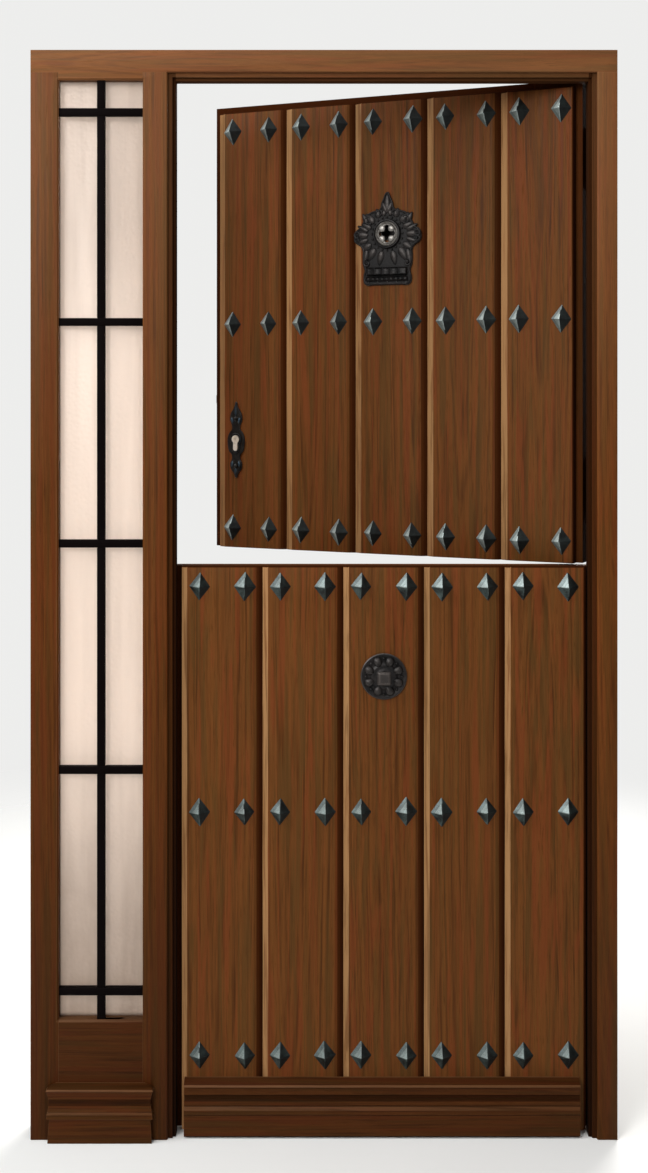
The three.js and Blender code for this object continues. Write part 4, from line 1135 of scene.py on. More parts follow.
class Paintshop:
    """Builds each finish once, and puts finished pieces on their bodies."""

    def __init__(self) -> None:
        """Build the shared node groups."""
        self.groups = {
            "figure": group("Oak figure", {"Place": ("Vector", None), "Ring": ("Float", 0.01),
                                           "Sway": ("Float", 0.03)},
                            {"Rings": "Float", "Fibres": "Float", "Pores": "Float", "Hue": "Float",
                             "Height": "Float"}, wire_figure),
            "hammering": group("Hammering", {"Place": ("Vector", None), "Blows": ("Float", 100.0)},
                               {"Flats": "Float", "Scale": "Float", "Height": "Float"}, wire_hammering),
        }
        self.made: dict[Finish, bpy.types.Material] = {}

    def material(self, finish: Finish) -> bpy.types.Material:
        """Give a finish's material, building it at its first use.

        Args:
            finish: The finish.

        Returns:
            Its material.
        """
        if finish not in self.made:
            self.made[finish] = finish.value.make(self.groups)
        return self.made[finish]

    def hang(self, piece: bpy.types.Object, body: Body, slot: Slot, finish: Finish, *stands_for: str) -> None:
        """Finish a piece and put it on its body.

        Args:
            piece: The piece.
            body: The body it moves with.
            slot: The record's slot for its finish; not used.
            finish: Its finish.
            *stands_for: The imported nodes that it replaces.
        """
        piece.data.materials.clear()
        piece.data.materials.append(self.material(finish))
        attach(piece, body.value)
        if stands_for:
            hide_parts(*stands_for)
        LOG.info("%s on %s, %d faces", piece.name, body.value, len(piece.data.polygons))


# ---- Screws ----


@dataclass
class Screws:
    """Slotted round-head screws."""

    radius: float = 4.2 * MM
    rise: float = 1.7 * MM
    slot: float = 1.0 * MM
    pattern: bpy.types.Mesh = field(init=False)

    def __post_init__(self) -> None:
        """Turn one head and saw its slot."""
        blank = Blank()
        r, h = self.radius, self.rise
        blank.turned([(0, -0.2 * MM), (r, -0.2 * MM), (r, h * 0.25), (r * 0.8, h * 0.75),
                      (r * 0.45, h * 0.96), (0, h)], Matrix.Identity(4), 16)
        head = blank.finish("head")
        saw = Blank()
        saw.block((-r * 1.2, -self.slot / 2, h * 0.4), (r * 1.2, self.slot / 2, h * 1.5))
        cut(head, saw.finish("saw"))
        self.pattern = head.data.copy()
        bpy.data.objects.remove(head)

    def drive(self, blank: Blank, place: Matrix, turn: float) -> None:
        """Put a screw into a blank, with its Z outwards and its slot turned by these radians."""
        blank.take(self.pattern, place @ Matrix.Rotation(turn, 4, "Z"))


# ---- Leaves ----


@dataclass
class PlankField:
    """The planks of one leaf and the studs that hold them.

    Attributes:
        rows: The studs' rows: over the planks' foot, over their middle and under their top.
        tones: How light each plank is.
        v_width: Width of a V joint's plain side.
        v_rise: Where that side ends, under the face.
        fall: The joint's round side, back from the joint and under the face, in millimetres.
        outer_fall: The same for the free edge of the last plank.
        groove_play: Gap beside a tongue, and beyond it.
        wave: How far a plank wanders along the wall and into it, in millimetres.
        stud_waist: How far a stud reaches between two of its points, as a share.
        stud_stray: How far it may sit from its mark, in millimetres.
        facet_light: How its facets are painted: upper left and right, then lower left and right; a highlight
            above 0, shade below.
        outer_highlight: How pale the free edge of the first plank is painted, as a highlight.
        outer_reach: How much wider than the others that plank is.
        joint_creep: How far each joint is moved along the wall, in millimetres.
        stud_creep: The same for each plank's studs.
    """

    name: str
    body: Body
    hanging: Hanging
    places: Places
    rows: tuple[float, ...]
    tones: tuple[float, ...]
    count: int = 5
    v_width: float = 10.5 * MM
    v_rise: float = 6 * MM
    v_depth: float = 8.5 * MM
    fall: tuple[tuple[float, float], ...] = ((17, 0), (11.5, 1.0), (6.5, 3.2), (2.5, 6.0), (0, 8.5))
    outer_fall: tuple[tuple[float, float], ...] = ((4, 0), (0, 4))
    tongue: float = 8 * MM
    tongue_span: tuple[float, float] = (11.5 * MM, 16.5 * MM)
    joint_play: float = 0.2 * MM
    groove_play: tuple[float, float] = (0.3 * MM, 0.4 * MM)
    ease: float = 1.6 * MM
    end_ease: float = 2.6 * MM
    wave: tuple[float, float] = (0.5, 0.35)
    crisp: float = 24.0
    stud_spacing: float = 87 * MM
    stud_half: tuple[float, float] = (21 * MM, 28.5 * MM)
    stud_rise: float = 16 * MM
    stud_waist: float = 0.71
    stud_hollow: float = 0.08
    stud_sizes: tuple[float, float] = (0.95, 1.05)
    stud_stray: float = 1.0
    stud_lean: float = 3.0
    facet_light: tuple[tuple[float, float], ...] = ((0.6, -0.8), (-0.1, -1.0))
    outer_highlight: float = 1.0
    outer_reach: float = 0.0
    joint_creep: tuple[float, ...] = (0, 0, 0, 0, 0, 0)
    stud_creep: tuple[float, ...] = (0, 0, 0, 0, 0)

    def build(self, shop: Paintshop, timber: Timber) -> None:
        """Make the planks and the studs.

        Args:
            shop: Finishes and hangs them.
            timber: Marks the boards.
        """
        low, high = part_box(f"{self.name}_plank_1")
        for number in range(self.count):
            plank = self.plank(number, low.z, high.z)
            if self.name == "upper" and number == self.count // 2:
                self.bore(plank)
            middle = Vector((self.left(number + 0.5), self.places.plank_front, (low.z + high.z) / 2))
            timber.saw(plank, Grain.UPRIGHT, middle, self.hanging.to_rest.inverted(),
                       arched=number != self.count // 2, tone=self.tones[number])
            shop.hang(plank, self.body, Slot.LEAF_OAK, Finish.PLANKS, f"{self.name}_plank_{number + 1}")
        shop.hang(self.studs(low.z, high.z), self.body, Slot.IRON, Finish.STUD)

    def left(self, number: float) -> float:
        """Give the left edge of a plank, or a place part way across it.

        Args:
            number: The plank counted from 0, or a fraction of the way to the next.

        Returns:
            The place along the wall.
        """
        width = (self.places.field_right - self.places.field_left) / self.count
        joint = int(number)
        here, after = self.joint_creep[joint], self.joint_creep[min(joint + 1, self.count)]
        creep = here + (after - here) * (number - joint)
        return self.places.field_left + number * width + creep * MM

    def section(self, number: int) -> list[tuple[float, float]]:
        """Draw a plank's section, with its tongue and groove.

        Args:
            number: The plank.

        Returns:
            The section's corners, along the wall and into it.
        """
        x0, x1 = self.left(number) + self.joint_play, self.left(number + 1) - self.joint_play
        if number == 0:
            x0 -= self.outer_reach
        y0, y1 = self.places.plank_front, self.places.plank_back
        t0, t1 = y0 + self.tongue_span[0], y0 + self.tongue_span[1]
        last = number == self.count - 1
        fall = self.outer_fall if last else self.fall
        points = [(x0 + self.v_width, y0)]
        points += [(x1 - back * MM, y0 + down * MM) for back, down in fall]
        if not last:
            points += [(x1, t0), (x1 + self.tongue, t0), (x1 + self.tongue, t1), (x1, t1)]
        points += [(x1, y1), (x0, y1)]
        if number > 0:
            beside, beyond = self.groove_play
            deep = x0 + self.tongue + beyond
            points += [(x0, t1 + beside), (deep, t1 + beside), (deep, t0 - beside), (x0, t0 - beside)]
        return points + [(x0, y0 + self.v_rise)]

    def plank(self, number: int, z0: float, z1: float) -> bpy.types.Object:
        """Plane one plank.

        Args:
            number: The plank.
            z0: Its lower end.
            z1: Its upper end.

        Returns:
            The plank, where it rests.
        """
        blank = Blank()
        bm = blank.bm
        foot = bm.faces.new([bm.verts.new((x, y, z0)) for x, y in self.section(number)])
        top = bmesh.ops.extrude_face_region(bm, geom=[foot])["geom"]
        raised = [g for g in top if isinstance(g, bmesh.types.BMVert)]
        bmesh.ops.translate(bm, vec=(0, 0, z1 - z0), verts=raised)
        bmesh.ops.recalc_face_normals(bm, faces=bm.faces)
        shown = self.places.plank_front + self.v_depth + 0.1 * MM
        ends = [e for e in bm.edges if climb(e) < 1e-6 and all(v.co.y < shown for v in e.verts)]
        bmesh.ops.bevel(bm, geom=ends, affect="EDGES", offset=self.end_ease, offset_type="OFFSET",
                        segments=2, profile=0.5, material=-1, clamp_overlap=True)
        wear_and_painted_light, front = blank.wear_and_painted_light, self.places.plank_front
        blank.round_edges(self.ease, 20.0, keep=lambda e: climb(e) > 0.1 and all(
            abs(v.co.y - front) < 1e-5 for v in e.verts))
        # Painted light on each plank: a highlight on the left side of each joint, and shade on its right side
        # and on the top end.
        pale = self.outer_highlight if number == 0 else 1.0
        for face in bm.faces:
            face[wear_and_painted_light] = self.joint_light_and_shade(face.normal, pale)
        along = [e for e in bm.edges if climb(e) > 0.1]
        bmesh.ops.subdivide_edges(bm, edges=along, cuts=15, use_grid_fill=True)
        for vert in bm.verts:
            if vert.co.y < shown and z0 + 4 * MM < vert.co.z < z1 - 4 * MM:
                drift = noise.noise_vector(Vector((vert.co.x * 14, number * 7.1, vert.co.z * 5)))
                vert.co.x += drift.x * self.wave[0] * MM
                vert.co.y += drift.y * self.wave[1] * MM
        return blank.finish(f"{self.name}_plank_{number + 1}.planed", self.hanging.to_rest, self.crisp)

    @staticmethod
    def joint_light_and_shade(normal: Vector, pale: float) -> float:
        """Say how a face of a plank is painted: a highlight on the joint's left side, shade on its right side
        and top end.

        Args:
            normal: The way the face looks.
            pale: How pale the plank's left edge is painted.

        Returns:
            The painted light of the face: above 0 a highlight on the joint's left side, below 0 shade on the
                top end and on the joint's right side.
        """
        across, out, up = normal
        if up > 0.3:
            return -1.0
        if abs(up) < 0.5 and out < 0.3 and across > 0.08:
            return -min(1.0, (across - 0.05) / 0.4)
        return pale * float(abs(up) < 0.5 and out < -0.3 and across < -0.25)

    def bore(self, plank: bpy.types.Object) -> None:
        """Bore the middle plank for the peephole.

        Args:
            plank: The plank.
        """
        low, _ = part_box("peephole_sleeve")
        middle, behind, radius, length = 33 * MM, 10 * MM, 17 * MM, 60 * MM
        drill = Blank()
        place = face_place(self.places.middle, self.places.plank_back + behind, low.z + middle)
        drill.turned([(0, 0), (radius, 0), (radius, length), (0, length)], place, 32)
        cut(plank, drill.finish("drill", self.hanging.to_rest))
        plank.data.set_sharp_from_angle(angle=math.radians(self.crisp))

    def studs(self, z0: float, z1: float) -> bpy.types.Object:
        """Forge the studs: four-pointed pyramids with a ridge to each point.

        Args:
            z0: The planks' lower end.
            z1: The planks' upper end.

        Returns:
            All the studs as one piece.
        """
        blank = Blank()
        dice = random.Random(len(self.name) + int(z0 * 1000))
        heights = [z0 + self.rows[0], (z0 + z1) / 2 + self.rows[1], z1 - self.rows[2]]
        stray, lean = self.stud_stray, self.stud_lean
        for number in range(self.count):
            for side in (-0.5, 0.5):
                for z in heights:
                    creep = self.stud_creep[number] + dice.uniform(-stray, stray)
                    x = self.left(number + 0.5) + side * self.stud_spacing + creep * MM
                    place = face_place(x, self.places.plank_front, z + dice.uniform(-stray, stray) * MM)
                    turned = at(place, 0, 0, 0, dice.uniform(-lean, lean))
                    blank.take(self.stud(dice), turned)
        return blank.finish(f"{self.name}_studs", self.hanging.to_rest, smooth=22.0)

    def stud(self, dice: random.Random) -> bpy.types.Mesh:
        """Forge one stud.

        Args:
            dice: The smith's small differences.

        Returns:
            The stud, its foot at height 0.
        """
        blank = Blank()
        bmesh.ops.create_cone(blank.bm, cap_ends=True, segments=8, radius1=1.0, radius2=0.0, depth=1.0)
        ribs = [e for e in blank.bm.edges if climb(e) > 0.5]
        bmesh.ops.subdivide_edges(blank.bm, edges=ribs, cuts=2)
        half_wide, half_high = self.stud_half
        grow = dice.uniform(*self.stud_sizes)
        for vert in blank.bm.verts:
            u, v, w = vert.co
            along = w + 0.5
            on_ridge = min(abs(u), abs(v)) < 0.05 * max(abs(u), abs(v), 1e-6)
            hollow = self.stud_hollow * math.sin(math.pi * along)
            reach = (1.0 if on_ridge else self.stud_waist) * (1.0 - hollow)
            rise = self.stud_rise * along + 1.0 * MM if along > 0.01 else -0.4 * MM
            vert.co = (u * reach * half_wide * grow, v * reach * half_high * grow, rise)
        blank.round_edges(0.9 * MM, 12.0, 1, keep=lambda e: max(v.co.z for v in e.verts) > 2 * MM and all(
            min(abs(v.co.x) / half_wide, abs(v.co.y) / half_high) < 0.04 for v in e.verts))
        blank.jog([v for v in blank.bm.verts if v.co.z > 2 * MM], 0.5 * MM, 90.0 + dice.uniform(0, 40))
        blank.bm.normal_update()
        # Painted light on each stud: its facets are marked pale or dark by the way they face, and the
        # highlight grows toward the point.
        wear_and_painted_light = blank.wear_and_painted_light
        for face in blank.bm.faces:
            across, up, _ = face.normal
            level = self.facet_light[0 if up > 0 else 1][0 if across < 0 else 1]
            toward_point = face.calc_center_median().z / self.stud_rise
            face[wear_and_painted_light] = level if level < 0 else level * min(1.0, 0.2 + 1.1 * toward_point)
        return blank.mesh("stud")


@dataclass
class LeafBack:
    """The stiles and rails behind one leaf's planks, and the pegs through their joints."""

    name: str
    body: Body
    hanging: Hanging
    places: Places
    ease: float = 2.0 * MM
    peg: float = 5.5 * MM
    peg_inset: float = 20 * MM
    peg_shares: tuple[float, float] = (0.28, 0.72)

    def build(self, shop: Paintshop, timber: Timber) -> None:
        """Make the framed back.

        Args:
            shop: Finishes and hangs it.
            timber: Marks the boards.
        """
        rest = self.hanging.to_rest.inverted()
        room = self.places.frame_back - 1 * MM
        for member in ("lock_stile", "hinge_stile", "bottom_rail", "middle_rail", "top_rail"):
            node = f"{self.name}_{member}"
            piece = softened(node, self.ease, keep=lambda e: all((rest @ v.co).y > room for v in e.verts))
            # Painted shade on the outside faces, which the planks and the frame nearly hide, lighter on the
            # hinge stile, and on the faces toward the hinges.
            front = -0.7 if member == "hinge_stile" else -1.0
            paint_light_by_facing(piece, lambda normal: self.painted_shade(normal, front), rest)
            low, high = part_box(node)
            grain = Grain.UPRIGHT if member.endswith("stile") else Grain.LEVEL
            timber.saw(piece, grain, rest @ ((low + high) / 2), rest, arched=False)
            shop.hang(piece, self.body, Slot.LEAF_OAK, Finish.PLANKS, node)
        pegs = self.pegs()
        timber.saw(pegs, Grain.LEVEL, Vector((0, 0, 0)), rest, tone=0.1)
        shop.hang(pegs, self.body, Slot.LEAF_OAK, Finish.PLANKS)

    @staticmethod
    def painted_shade(normal: Vector, front: float) -> float | None:
        """Paint shade on a stile or a rail where the planks or the frame nearly hide it.

        Args:
            normal: The way a face looks, with the leaf shut.
            front: How dark its outside is painted.

        Returns:
            The painted shade, below 0, or None to leave it.
        """
        if normal.y < -0.5:
            return front
        return -1.0 if normal.x > 0.5 else None

    def pegs(self) -> bpy.types.Object:
        """Drive two pegs through each joint.

        Returns:
            The pegs' ends as one piece.
        """
        blank = Blank()
        left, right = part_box("lower_lock_stile"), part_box("lower_hinge_stile")
        r = self.peg
        end = [(0, -3 * MM), (r, -3 * MM), (r, 0.3 * MM), (r * 0.7, 0.8 * MM), (0, 1.0 * MM)]
        for rail in ("bottom_rail", "middle_rail", "top_rail"):
            low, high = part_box(f"{self.name}_{rail}")
            for share in self.peg_shares:
                z = low.z + (high.z - low.z) * share
                for x in (left[1].x - self.peg_inset, right[0].x + self.peg_inset):
                    blank.turned(end, face_place(x, self.places.frame_back, z, inward=True), 10)
        return blank.finish(f"{self.name}_pegs", self.hanging.to_rest)


# ---- Ironwork on the outside ----


@dataclass
class PeepholeGrille:
    """The cast grille over the peephole: a crested cartouche of leaves and scrolls round a pierced eye."""

    places: Places
    plate: float = 3.4 * MM
    eye: float = 25 * MM
    arm: float = 17 * MM
    below: float = 98 * MM
    eye_rise: float = 8.0       # in millimetres, as the tables below

    def build(self, shop: Paintshop) -> None:
        """Cast the grille and its eye.

        Args:
            shop: Finishes and hangs them.
        """
        hanging = self.places.upper
        low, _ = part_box("peephole_grille")
        place = face_place(self.places.middle, self.places.plank_front - PLANK_SEAT, low.z + self.below)
        blank = Blank()
        hole = [(u, v + self.eye_rise * MM) for u, v in self.cross(self.arm + 2 * MM)]
        # The plate's flat is painted dark as shade between its ornaments.
        blank.take(casting([self.outline(), hole], self.plate, 1.0 * MM, sunk=0.7), place)
        self.cast_rim(blank, place)
        self.cast_leaves(blank, place)
        self.cast_scrolls(blank, place)
        self.cast_tablet(blank, place)
        piece = blank.finish("peephole_grille.cast", hanging.to_rest, smooth=40.0)
        shop.hang(piece, Body.UPPER, Slot.IRON, Finish.CAST, "peephole_grille")
        shop.hang(self.cast_eye(at(place, 0, self.eye_rise, 0)), Body.UPPER, Slot.IRON, Finish.EYE)

    @staticmethod
    def outline(inside: float = 0.0) -> list[tuple[float, float]]:
        """Draw the plate's edge: crest, shoulders, wings and tablet.

        Args:
            inside: How far inside the edge, in millimetres.

        Returns:
            The outline's points.
        """
        half = [(0, -97), (26, -97), (50, -95), (54, -82), (51, -68), (55, -54), (56, -38), (56, -24),
                (63, -15), (72, -9), (75, 4), (71, 16), (61, 23), (56, 31), (52, 42), (44, 50), (33, 55),
                (21, 57), (14, 63), (12, 72), (7, 83), (0, 94)]
        both = half + [(-u, v) for u, v in reversed(half[1:-1])]
        shrink = [(u * (1 - inside / 58), v * (1 - inside / 94)) for u, v in both]
        return [(u * MM, v * MM) for u, v in shrink]

    @staticmethod
    def cross(arm: float) -> list[tuple[float, float]]:
        """Draw the eye's opening: a cross with rounded ends.

        Args:
            arm: From the middle to the end of an arm.

        Returns:
            The outline's points.
        """
        quarter = ((1.0, -0.16), (1.0, 0.16), (0.82, 0.3), (0.5, 0.27), (0.3, 0.3), (0.27, 0.5), (0.3, 0.82))
        points = []
        for c, s in ((1, 0), (0, 1), (-1, 0), (0, -1)):
            points += [((u * c - v * s) * arm, (u * s + v * c) * arm) for u, v in quarter]
        return points

    def cast_eye(self, place: Matrix) -> bpy.types.Object:
        """Cast the pierced eye, its rim and the four lobes between the arms of the cross.

        Args:
            place: The middle of the eye.

        Returns:
            The eye in paler iron, with painted highlights on its lobes and painted shade at their feet.
        """
        blank = Blank()
        disc = [(self.eye * math.cos(a * math.pi / 12), self.eye * math.sin(a * math.pi / 12))
                for a in range(24)]
        blank.take(casting([disc, self.cross(self.arm)], 4.0 * MM, 1.2 * MM, 3), at(place, 0, 0, 3))
        r = self.eye - 2.0 * MM
        blank.turned([(r - 3.2 * MM, 0), (r - 2.4 * MM, 1.8 * MM), (r, 3.0 * MM), (r + 2.0 * MM, 1.8 * MM),
                      (r + 2.6 * MM, 0)], at(place, 0, 0, 6.4), 32)
        for step in range(4):
            lobe = at(at(place, 0, 0, 6.6, 45 + 90 * step), 7.5, 0, 0)
            blank.lobe(lobe, 14 * MM, 16 * MM, 4.0 * MM)
        return blank.finish("peephole_eye", self.places.upper.to_rest, smooth=40.0)

    def cast_rim(self, blank: Blank, place: Matrix) -> None:
        """Cast the cord round the plate's edge, the ring round the eye and its beads.

        Args:
            blank: The grille.
            place: The grille's middle.
        """
        edge = [(u, v, 4.0 * MM) for u, v in self.outline(3.0)]
        blank.take(swept(edge, [1.9 * MM] * len(edge), closed=True), place)
        eye = at(place, 0, self.eye_rise, 0)
        r = self.eye + 2 * MM
        blank.turned([(r - 1.5 * MM, 0), (r - 1.5 * MM, 4.5 * MM), (r, 6.4 * MM), (r + 2 * MM, 6.2 * MM),
                      (r + 3.4 * MM, 4 * MM), (r + 3.8 * MM, 0)], at(eye, 0, 0, 3), 32)
        for step in range(20):
            angle = math.radians(18 * step)
            bead = at(eye, 34 * math.cos(angle), 34 * math.sin(angle), 3.0)
            blank.turned([(2.6 * MM, 0), (2.2 * MM, 2.0 * MM), (1.1 * MM, 3.0 * MM), (0, 3.3 * MM)], bead, 8)

    def cast_leaves(self, blank: Blank, place: Matrix) -> None:
        """Cast the leaves of the crest, the shoulders, the wings and the sides.

        Args:
            blank: The grille.
            place: The grille's middle.
        """
        for turn, length, width in ((90, 42, 17), (115, 27, 14), (65, 27, 14)):
            blank.leaf(at(place, 0, 50, 3, turn), length * MM, width * MM, 7 * MM)
        # The foot across and up, the way the leaf points, its length and its width.
        side_leaves = (
            (29, 30, 46, 28, 20), (35, 20, 24, 25, 17), (18, 41, 72, 20, 18), (44, 30, 62, 24, 14),
            (42, 6, 4, 33, 18), (42, 14, 26, 28, 13), (42, -2, -18, 29, 13), (35, -12, -30, 25, 18),
            (27, -21, -58, 32, 20), (12, -27, -78, 31, 18), (45, -24, -78, 34, 15), (8, 44, 100, 16, 12),
        )
        for away in (1, -1):
            for u, v, turn, length, width in side_leaves:
                facing = turn if away == 1 else 180 - turn
                blank.leaf(at(place, away * u, v, 3, facing), length * MM, width * MM, 6.5 * MM)

    def cast_scrolls(self, blank: Blank, place: Matrix) -> None:
        """Cast the scrolls at the crest, the shoulders, the wings and beside the tablet.

        Args:
            blank: The grille.
            place: The grille's middle.
        """
        # The middle across and up, where the scroll starts, its size and the way it winds.
        scrolls = ((41, 38, 230, 10, 1), (16, 50, 320, 8, 1), (66, 8, 250, 8, 1), (66, -4, 110, 7, -1),
                   (45, -52, 90, 8, -1))
        for away in (-1, 1):
            for u, v, start, size, hand in scrolls:
                line, radii = [], []
                for step in range(13):
                    share = step / 12
                    angle = math.radians(start) + hand * share * 2.4 * math.pi
                    reach = size * (1 - 0.8 * share)
                    line.append((away * (u + reach * math.cos(angle)) * MM,
                                 (v + reach * math.sin(angle)) * MM, 5 * MM))
                    radii.append((2.5 - 0.9 * share) * MM)
                blank.take(swept(line, radii), place)
                boss = at(place, away * u, v, 3)
                blank.turned([(3.0 * MM, 0), (2.6 * MM, 3 * MM), (1.4 * MM, 4.6 * MM), (0, 5 * MM)], boss, 8)

    def cast_tablet(self, blank: Blank, place: Matrix) -> None:
        """Cast the tablet at the foot, with a row of pockets over a row of small ones.

        Args:
            blank: The grille.
            place: The grille's middle.
        """
        for count, width, height, wall, v in ((5, 90, 17, 3.6, -69), (9, 92, 10, 2.4, -84)):
            sheet = Blank()
            made = bmesh.ops.create_grid(sheet.bm, x_segments=count, y_segments=1, size=0.5)["verts"]
            bmesh.ops.scale(sheet.bm, vec=(width * MM, height * MM, 1), verts=made)
            ring = bmesh.ops.inset_individual(sheet.bm, faces=sheet.bm.faces[:], thickness=wall * MM)
            walls = set(ring["faces"])
            pockets = {v for f in sheet.bm.faces if f not in walls for v in f.verts}
            bmesh.ops.translate(sheet.bm, vec=(0, 0, -2.4 * MM), verts=list(pockets))
            bmesh.ops.solidify(sheet.bm, geom=sheet.bm.faces[:], thickness=-3 * MM)
            bmesh.ops.recalc_face_normals(sheet.bm, faces=sheet.bm.faces[:])
            blank.take(sheet.mesh("tablet"), at(place, 0, v, 6.4))
        for u in (-42, -21, 0, 21, 42):
            bead = at(place, u, -91.5, 3.2)
            blank.turned([(2.4 * MM, 0), (2.0 * MM, 2.0 * MM), (0, 3.0 * MM)], bead, 8)


@dataclass
class KeyPlate:
    """The escutcheon and the key cylinder in it."""

    places: Places
    plate: float = 3.6          # in millimetres, as its outline
    key_rise: float = 6 * MM

    def build(self, shop: Paintshop) -> None:
        """Make the escutcheon, its nails and the cylinder's face.

        Args:
            shop: Finishes and hangs them.
        """
        low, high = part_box("key_escutcheon")
        x, z = self.places.lock_line, (low.z + high.z) / 2 + self.key_rise
        place = face_place(x, self.places.plank_front - PLANK_SEAT, z)
        blank = Blank()
        blank.take(casting([self.outline(), self.keyhole(3.4)], self.plate * MM, 1.0 * MM), place)
        blank.take(casting([self.keyhole(4.6), self.keyhole(0.5)], 6.2 * MM, 1.1 * MM), place)
        for v in (-57, 44):
            blank.turned([(5.2 * MM, 0), (4.6 * MM, 2.0 * MM), (2.4 * MM, 3.4 * MM), (0, 3.8 * MM)],
                         at(place, 0, v, self.plate), 14)
        for v, turn, length in ((49, 90, 30), (-61, -90, 17)):
            blank.leaf(at(place, 0, v, self.plate, turn), length * MM, 8 * MM, 2.4 * MM)
        for away in (-1, 1):
            for v, turn in ((33, 80), (-45, -80)):
                facing = turn if away == 1 else 180 - turn
                foot = at(place, away * 7, v, self.plate - 0.4, facing)
                blank.lobe(foot, 15 * MM, 7 * MM, 2.6 * MM)
        piece = blank.finish("key_escutcheon.cast", self.places.upper.to_rest)
        shop.hang(piece, Body.UPPER, Slot.IRON, Finish.BLUED, "key_escutcheon")
        shop.hang(self.cylinder(x, z), Body.UPPER, Slot.NICKEL, Finish.NICKEL, "lock_cylinder")

    def cylinder(self, x: float, z: float) -> bpy.types.Object:
        """Raise the plug's ring at both ends of the key cylinder.

        Args:
            x: The plug's middle along the wall, with the leaf shut.
            z: Its height.

        Returns:
            The cylinder.
        """
        to_rest = self.places.upper.to_rest
        blank = Blank()
        blank.take(bpy.data.objects["lock_cylinder"].data, to_rest.inverted())
        blank.merge()
        depths = [v.co.y for v in blank.bm.verts]
        outer, inner, sunk = 6.2 * MM, 2.2 * MM, -0.2 * MM
        ring = [(outer, sunk), (outer, 0.25 * MM), (outer - 0.4 * MM, 0.6 * MM), (inner, 0.6 * MM),
                (inner, sunk)]
        for face, inward in ((min(depths), False), (max(depths), True)):
            blank.turned(ring, face_place(x, face, z, inward), 24)
        return blank.finish("lock_cylinder.plugged", to_rest)

    @staticmethod
    def outline() -> list[tuple[float, float]]:
        """Draw the escutcheon: a spindle with a lobe over and under the key.

        Returns:
            The outline's points.
        """
        half = [(0, -82), (5, -73), (12.5, -63), (14, -52), (9.5, -41), (10.5, -33), (17, -25), (20, -12),
                (19.5, 5), (15, 15), (9.5, 22), (10.5, 31), (14.5, 42), (12.5, 55), (6.5, 65), (3.5, 71),
                (0, 80)]
        both = half + [(-u, v) for u, v in reversed(half[1:-1])]
        return [(u * MM, v * MM) for u, v in both]

    @staticmethod
    def keyhole(play: float) -> list[tuple[float, float]]:
        """Draw round the key cylinder's profile.

        Args:
            play: How far outside the profile, in millimetres.

        Returns:
            The outline's points.
        """
        r, half, low = 8.5 + play, 5 + play, -24.5 - play
        head = [math.radians(a) for a in range(-140, 141, 20)]
        foot = [math.radians(a) for a in (-45, -90, -135)]
        points = [(r * math.sin(a), r * math.cos(a)) for a in head]
        points += [(half, -8.0 - play), (half, low + half)]
        points += [(half * math.cos(a), low + half + half * math.sin(a)) for a in foot]
        points += [(-half, low + half), (-half, -8.0 - play)]
        return [(u * MM, v * MM) for u, v in points]


@dataclass
class PullKnob:
    """The cast rose and knob on the lower leaf."""

    places: Places
    radius: float = 46 * MM
    head_size: tuple[float, float, float] = (27 * MM, 27 * MM, 12 * MM)
    head_rise: float = 23.5     # in millimetres, as the dish's profile

    def build(self, shop: Paintshop) -> None:
        """Cast the rose and the knob.

        Args:
            shop: Finishes and hangs them.
        """
        low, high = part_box("pull_knob")
        place = face_place(self.places.middle, self.places.plank_front - PLANK_SEAT, (low.z + high.z) / 2)
        blank = Blank()
        dish = [(0, 0), (42, 0), (44.5, 1.2), (45, 3.0), (43, 4.6), (40, 4.4), (37, 3.0), (27, 3.4),
                (24, 6.2), (21, 7.2), (18, 6.6), (14, 8.0), (11, 8.8), (9.2, 12), (8.8, 16), (9.6, 19),
                (0, 20)]
        wear_and_painted_light = blank.wear_and_painted_light
        made = blank.turned([(r * MM, h * MM) for r, h in dish], place, 40)
        blank.bm.normal_update()
        # A pale ring round the rim: worn by use, and a painted highlight.
        rim = (self.radius - 2.5 * MM) ** 2
        for face in {f for v in made for f in v.link_faces}:
            away = face.calc_center_median() - place.translation
            face[wear_and_painted_light] = 0.7 * float(away.x ** 2 + away.z ** 2 > rim and face.normal.y < -0.1)
        for step in range(8):
            petal = at(at(place, 0, 0, 0, 45 * step + 22.5), 18.5, 0, 3)
            blank.lobe(petal, 22 * MM, 18 * MM, 7.5 * MM, 0.3)
            bead = at(at(place, 0, 0, 0, 45 * step), 35, 0, 2)
            blank.turned([(3.6 * MM, 0), (3.2 * MM, 3.0 * MM), (1.8 * MM, 5.0 * MM), (0, 5.6 * MM)], bead, 8)
        blank.take(self.head(), at(place, 0, 0, self.head_rise))
        piece = blank.finish("pull_knob.cast", smooth=38.0)
        shop.hang(piece, Body.LOWER, Slot.IRON, Finish.CAST, "pull_knob")

    def head(self) -> bpy.types.Mesh:
        """Cast the knob's square head, with a raised square on its face.

        Returns:
            The head, round its middle.
        """
        blank = Blank()
        wear_and_painted_light = blank.wear_and_painted_light
        made = bmesh.ops.create_cube(blank.bm, size=1.0)["verts"]
        bmesh.ops.scale(blank.bm, vec=self.head_size, verts=made)
        under = [v for v in made if v.co.z < 0]
        bmesh.ops.scale(blank.bm, vec=(0.72, 0.72, 1), verts=under)
        top = max(blank.bm.faces, key=lambda f: f.calc_center_median().z)
        bmesh.ops.inset_region(blank.bm, faces=[top], thickness=6 * MM, depth=2.6 * MM)
        for face in blank.bm.faces:
            face[wear_and_painted_light] = 0.5
        blank.round_edges(2.0 * MM, 20.0, 3)
        return blank.mesh("head")


# ---- Inside ironwork ----


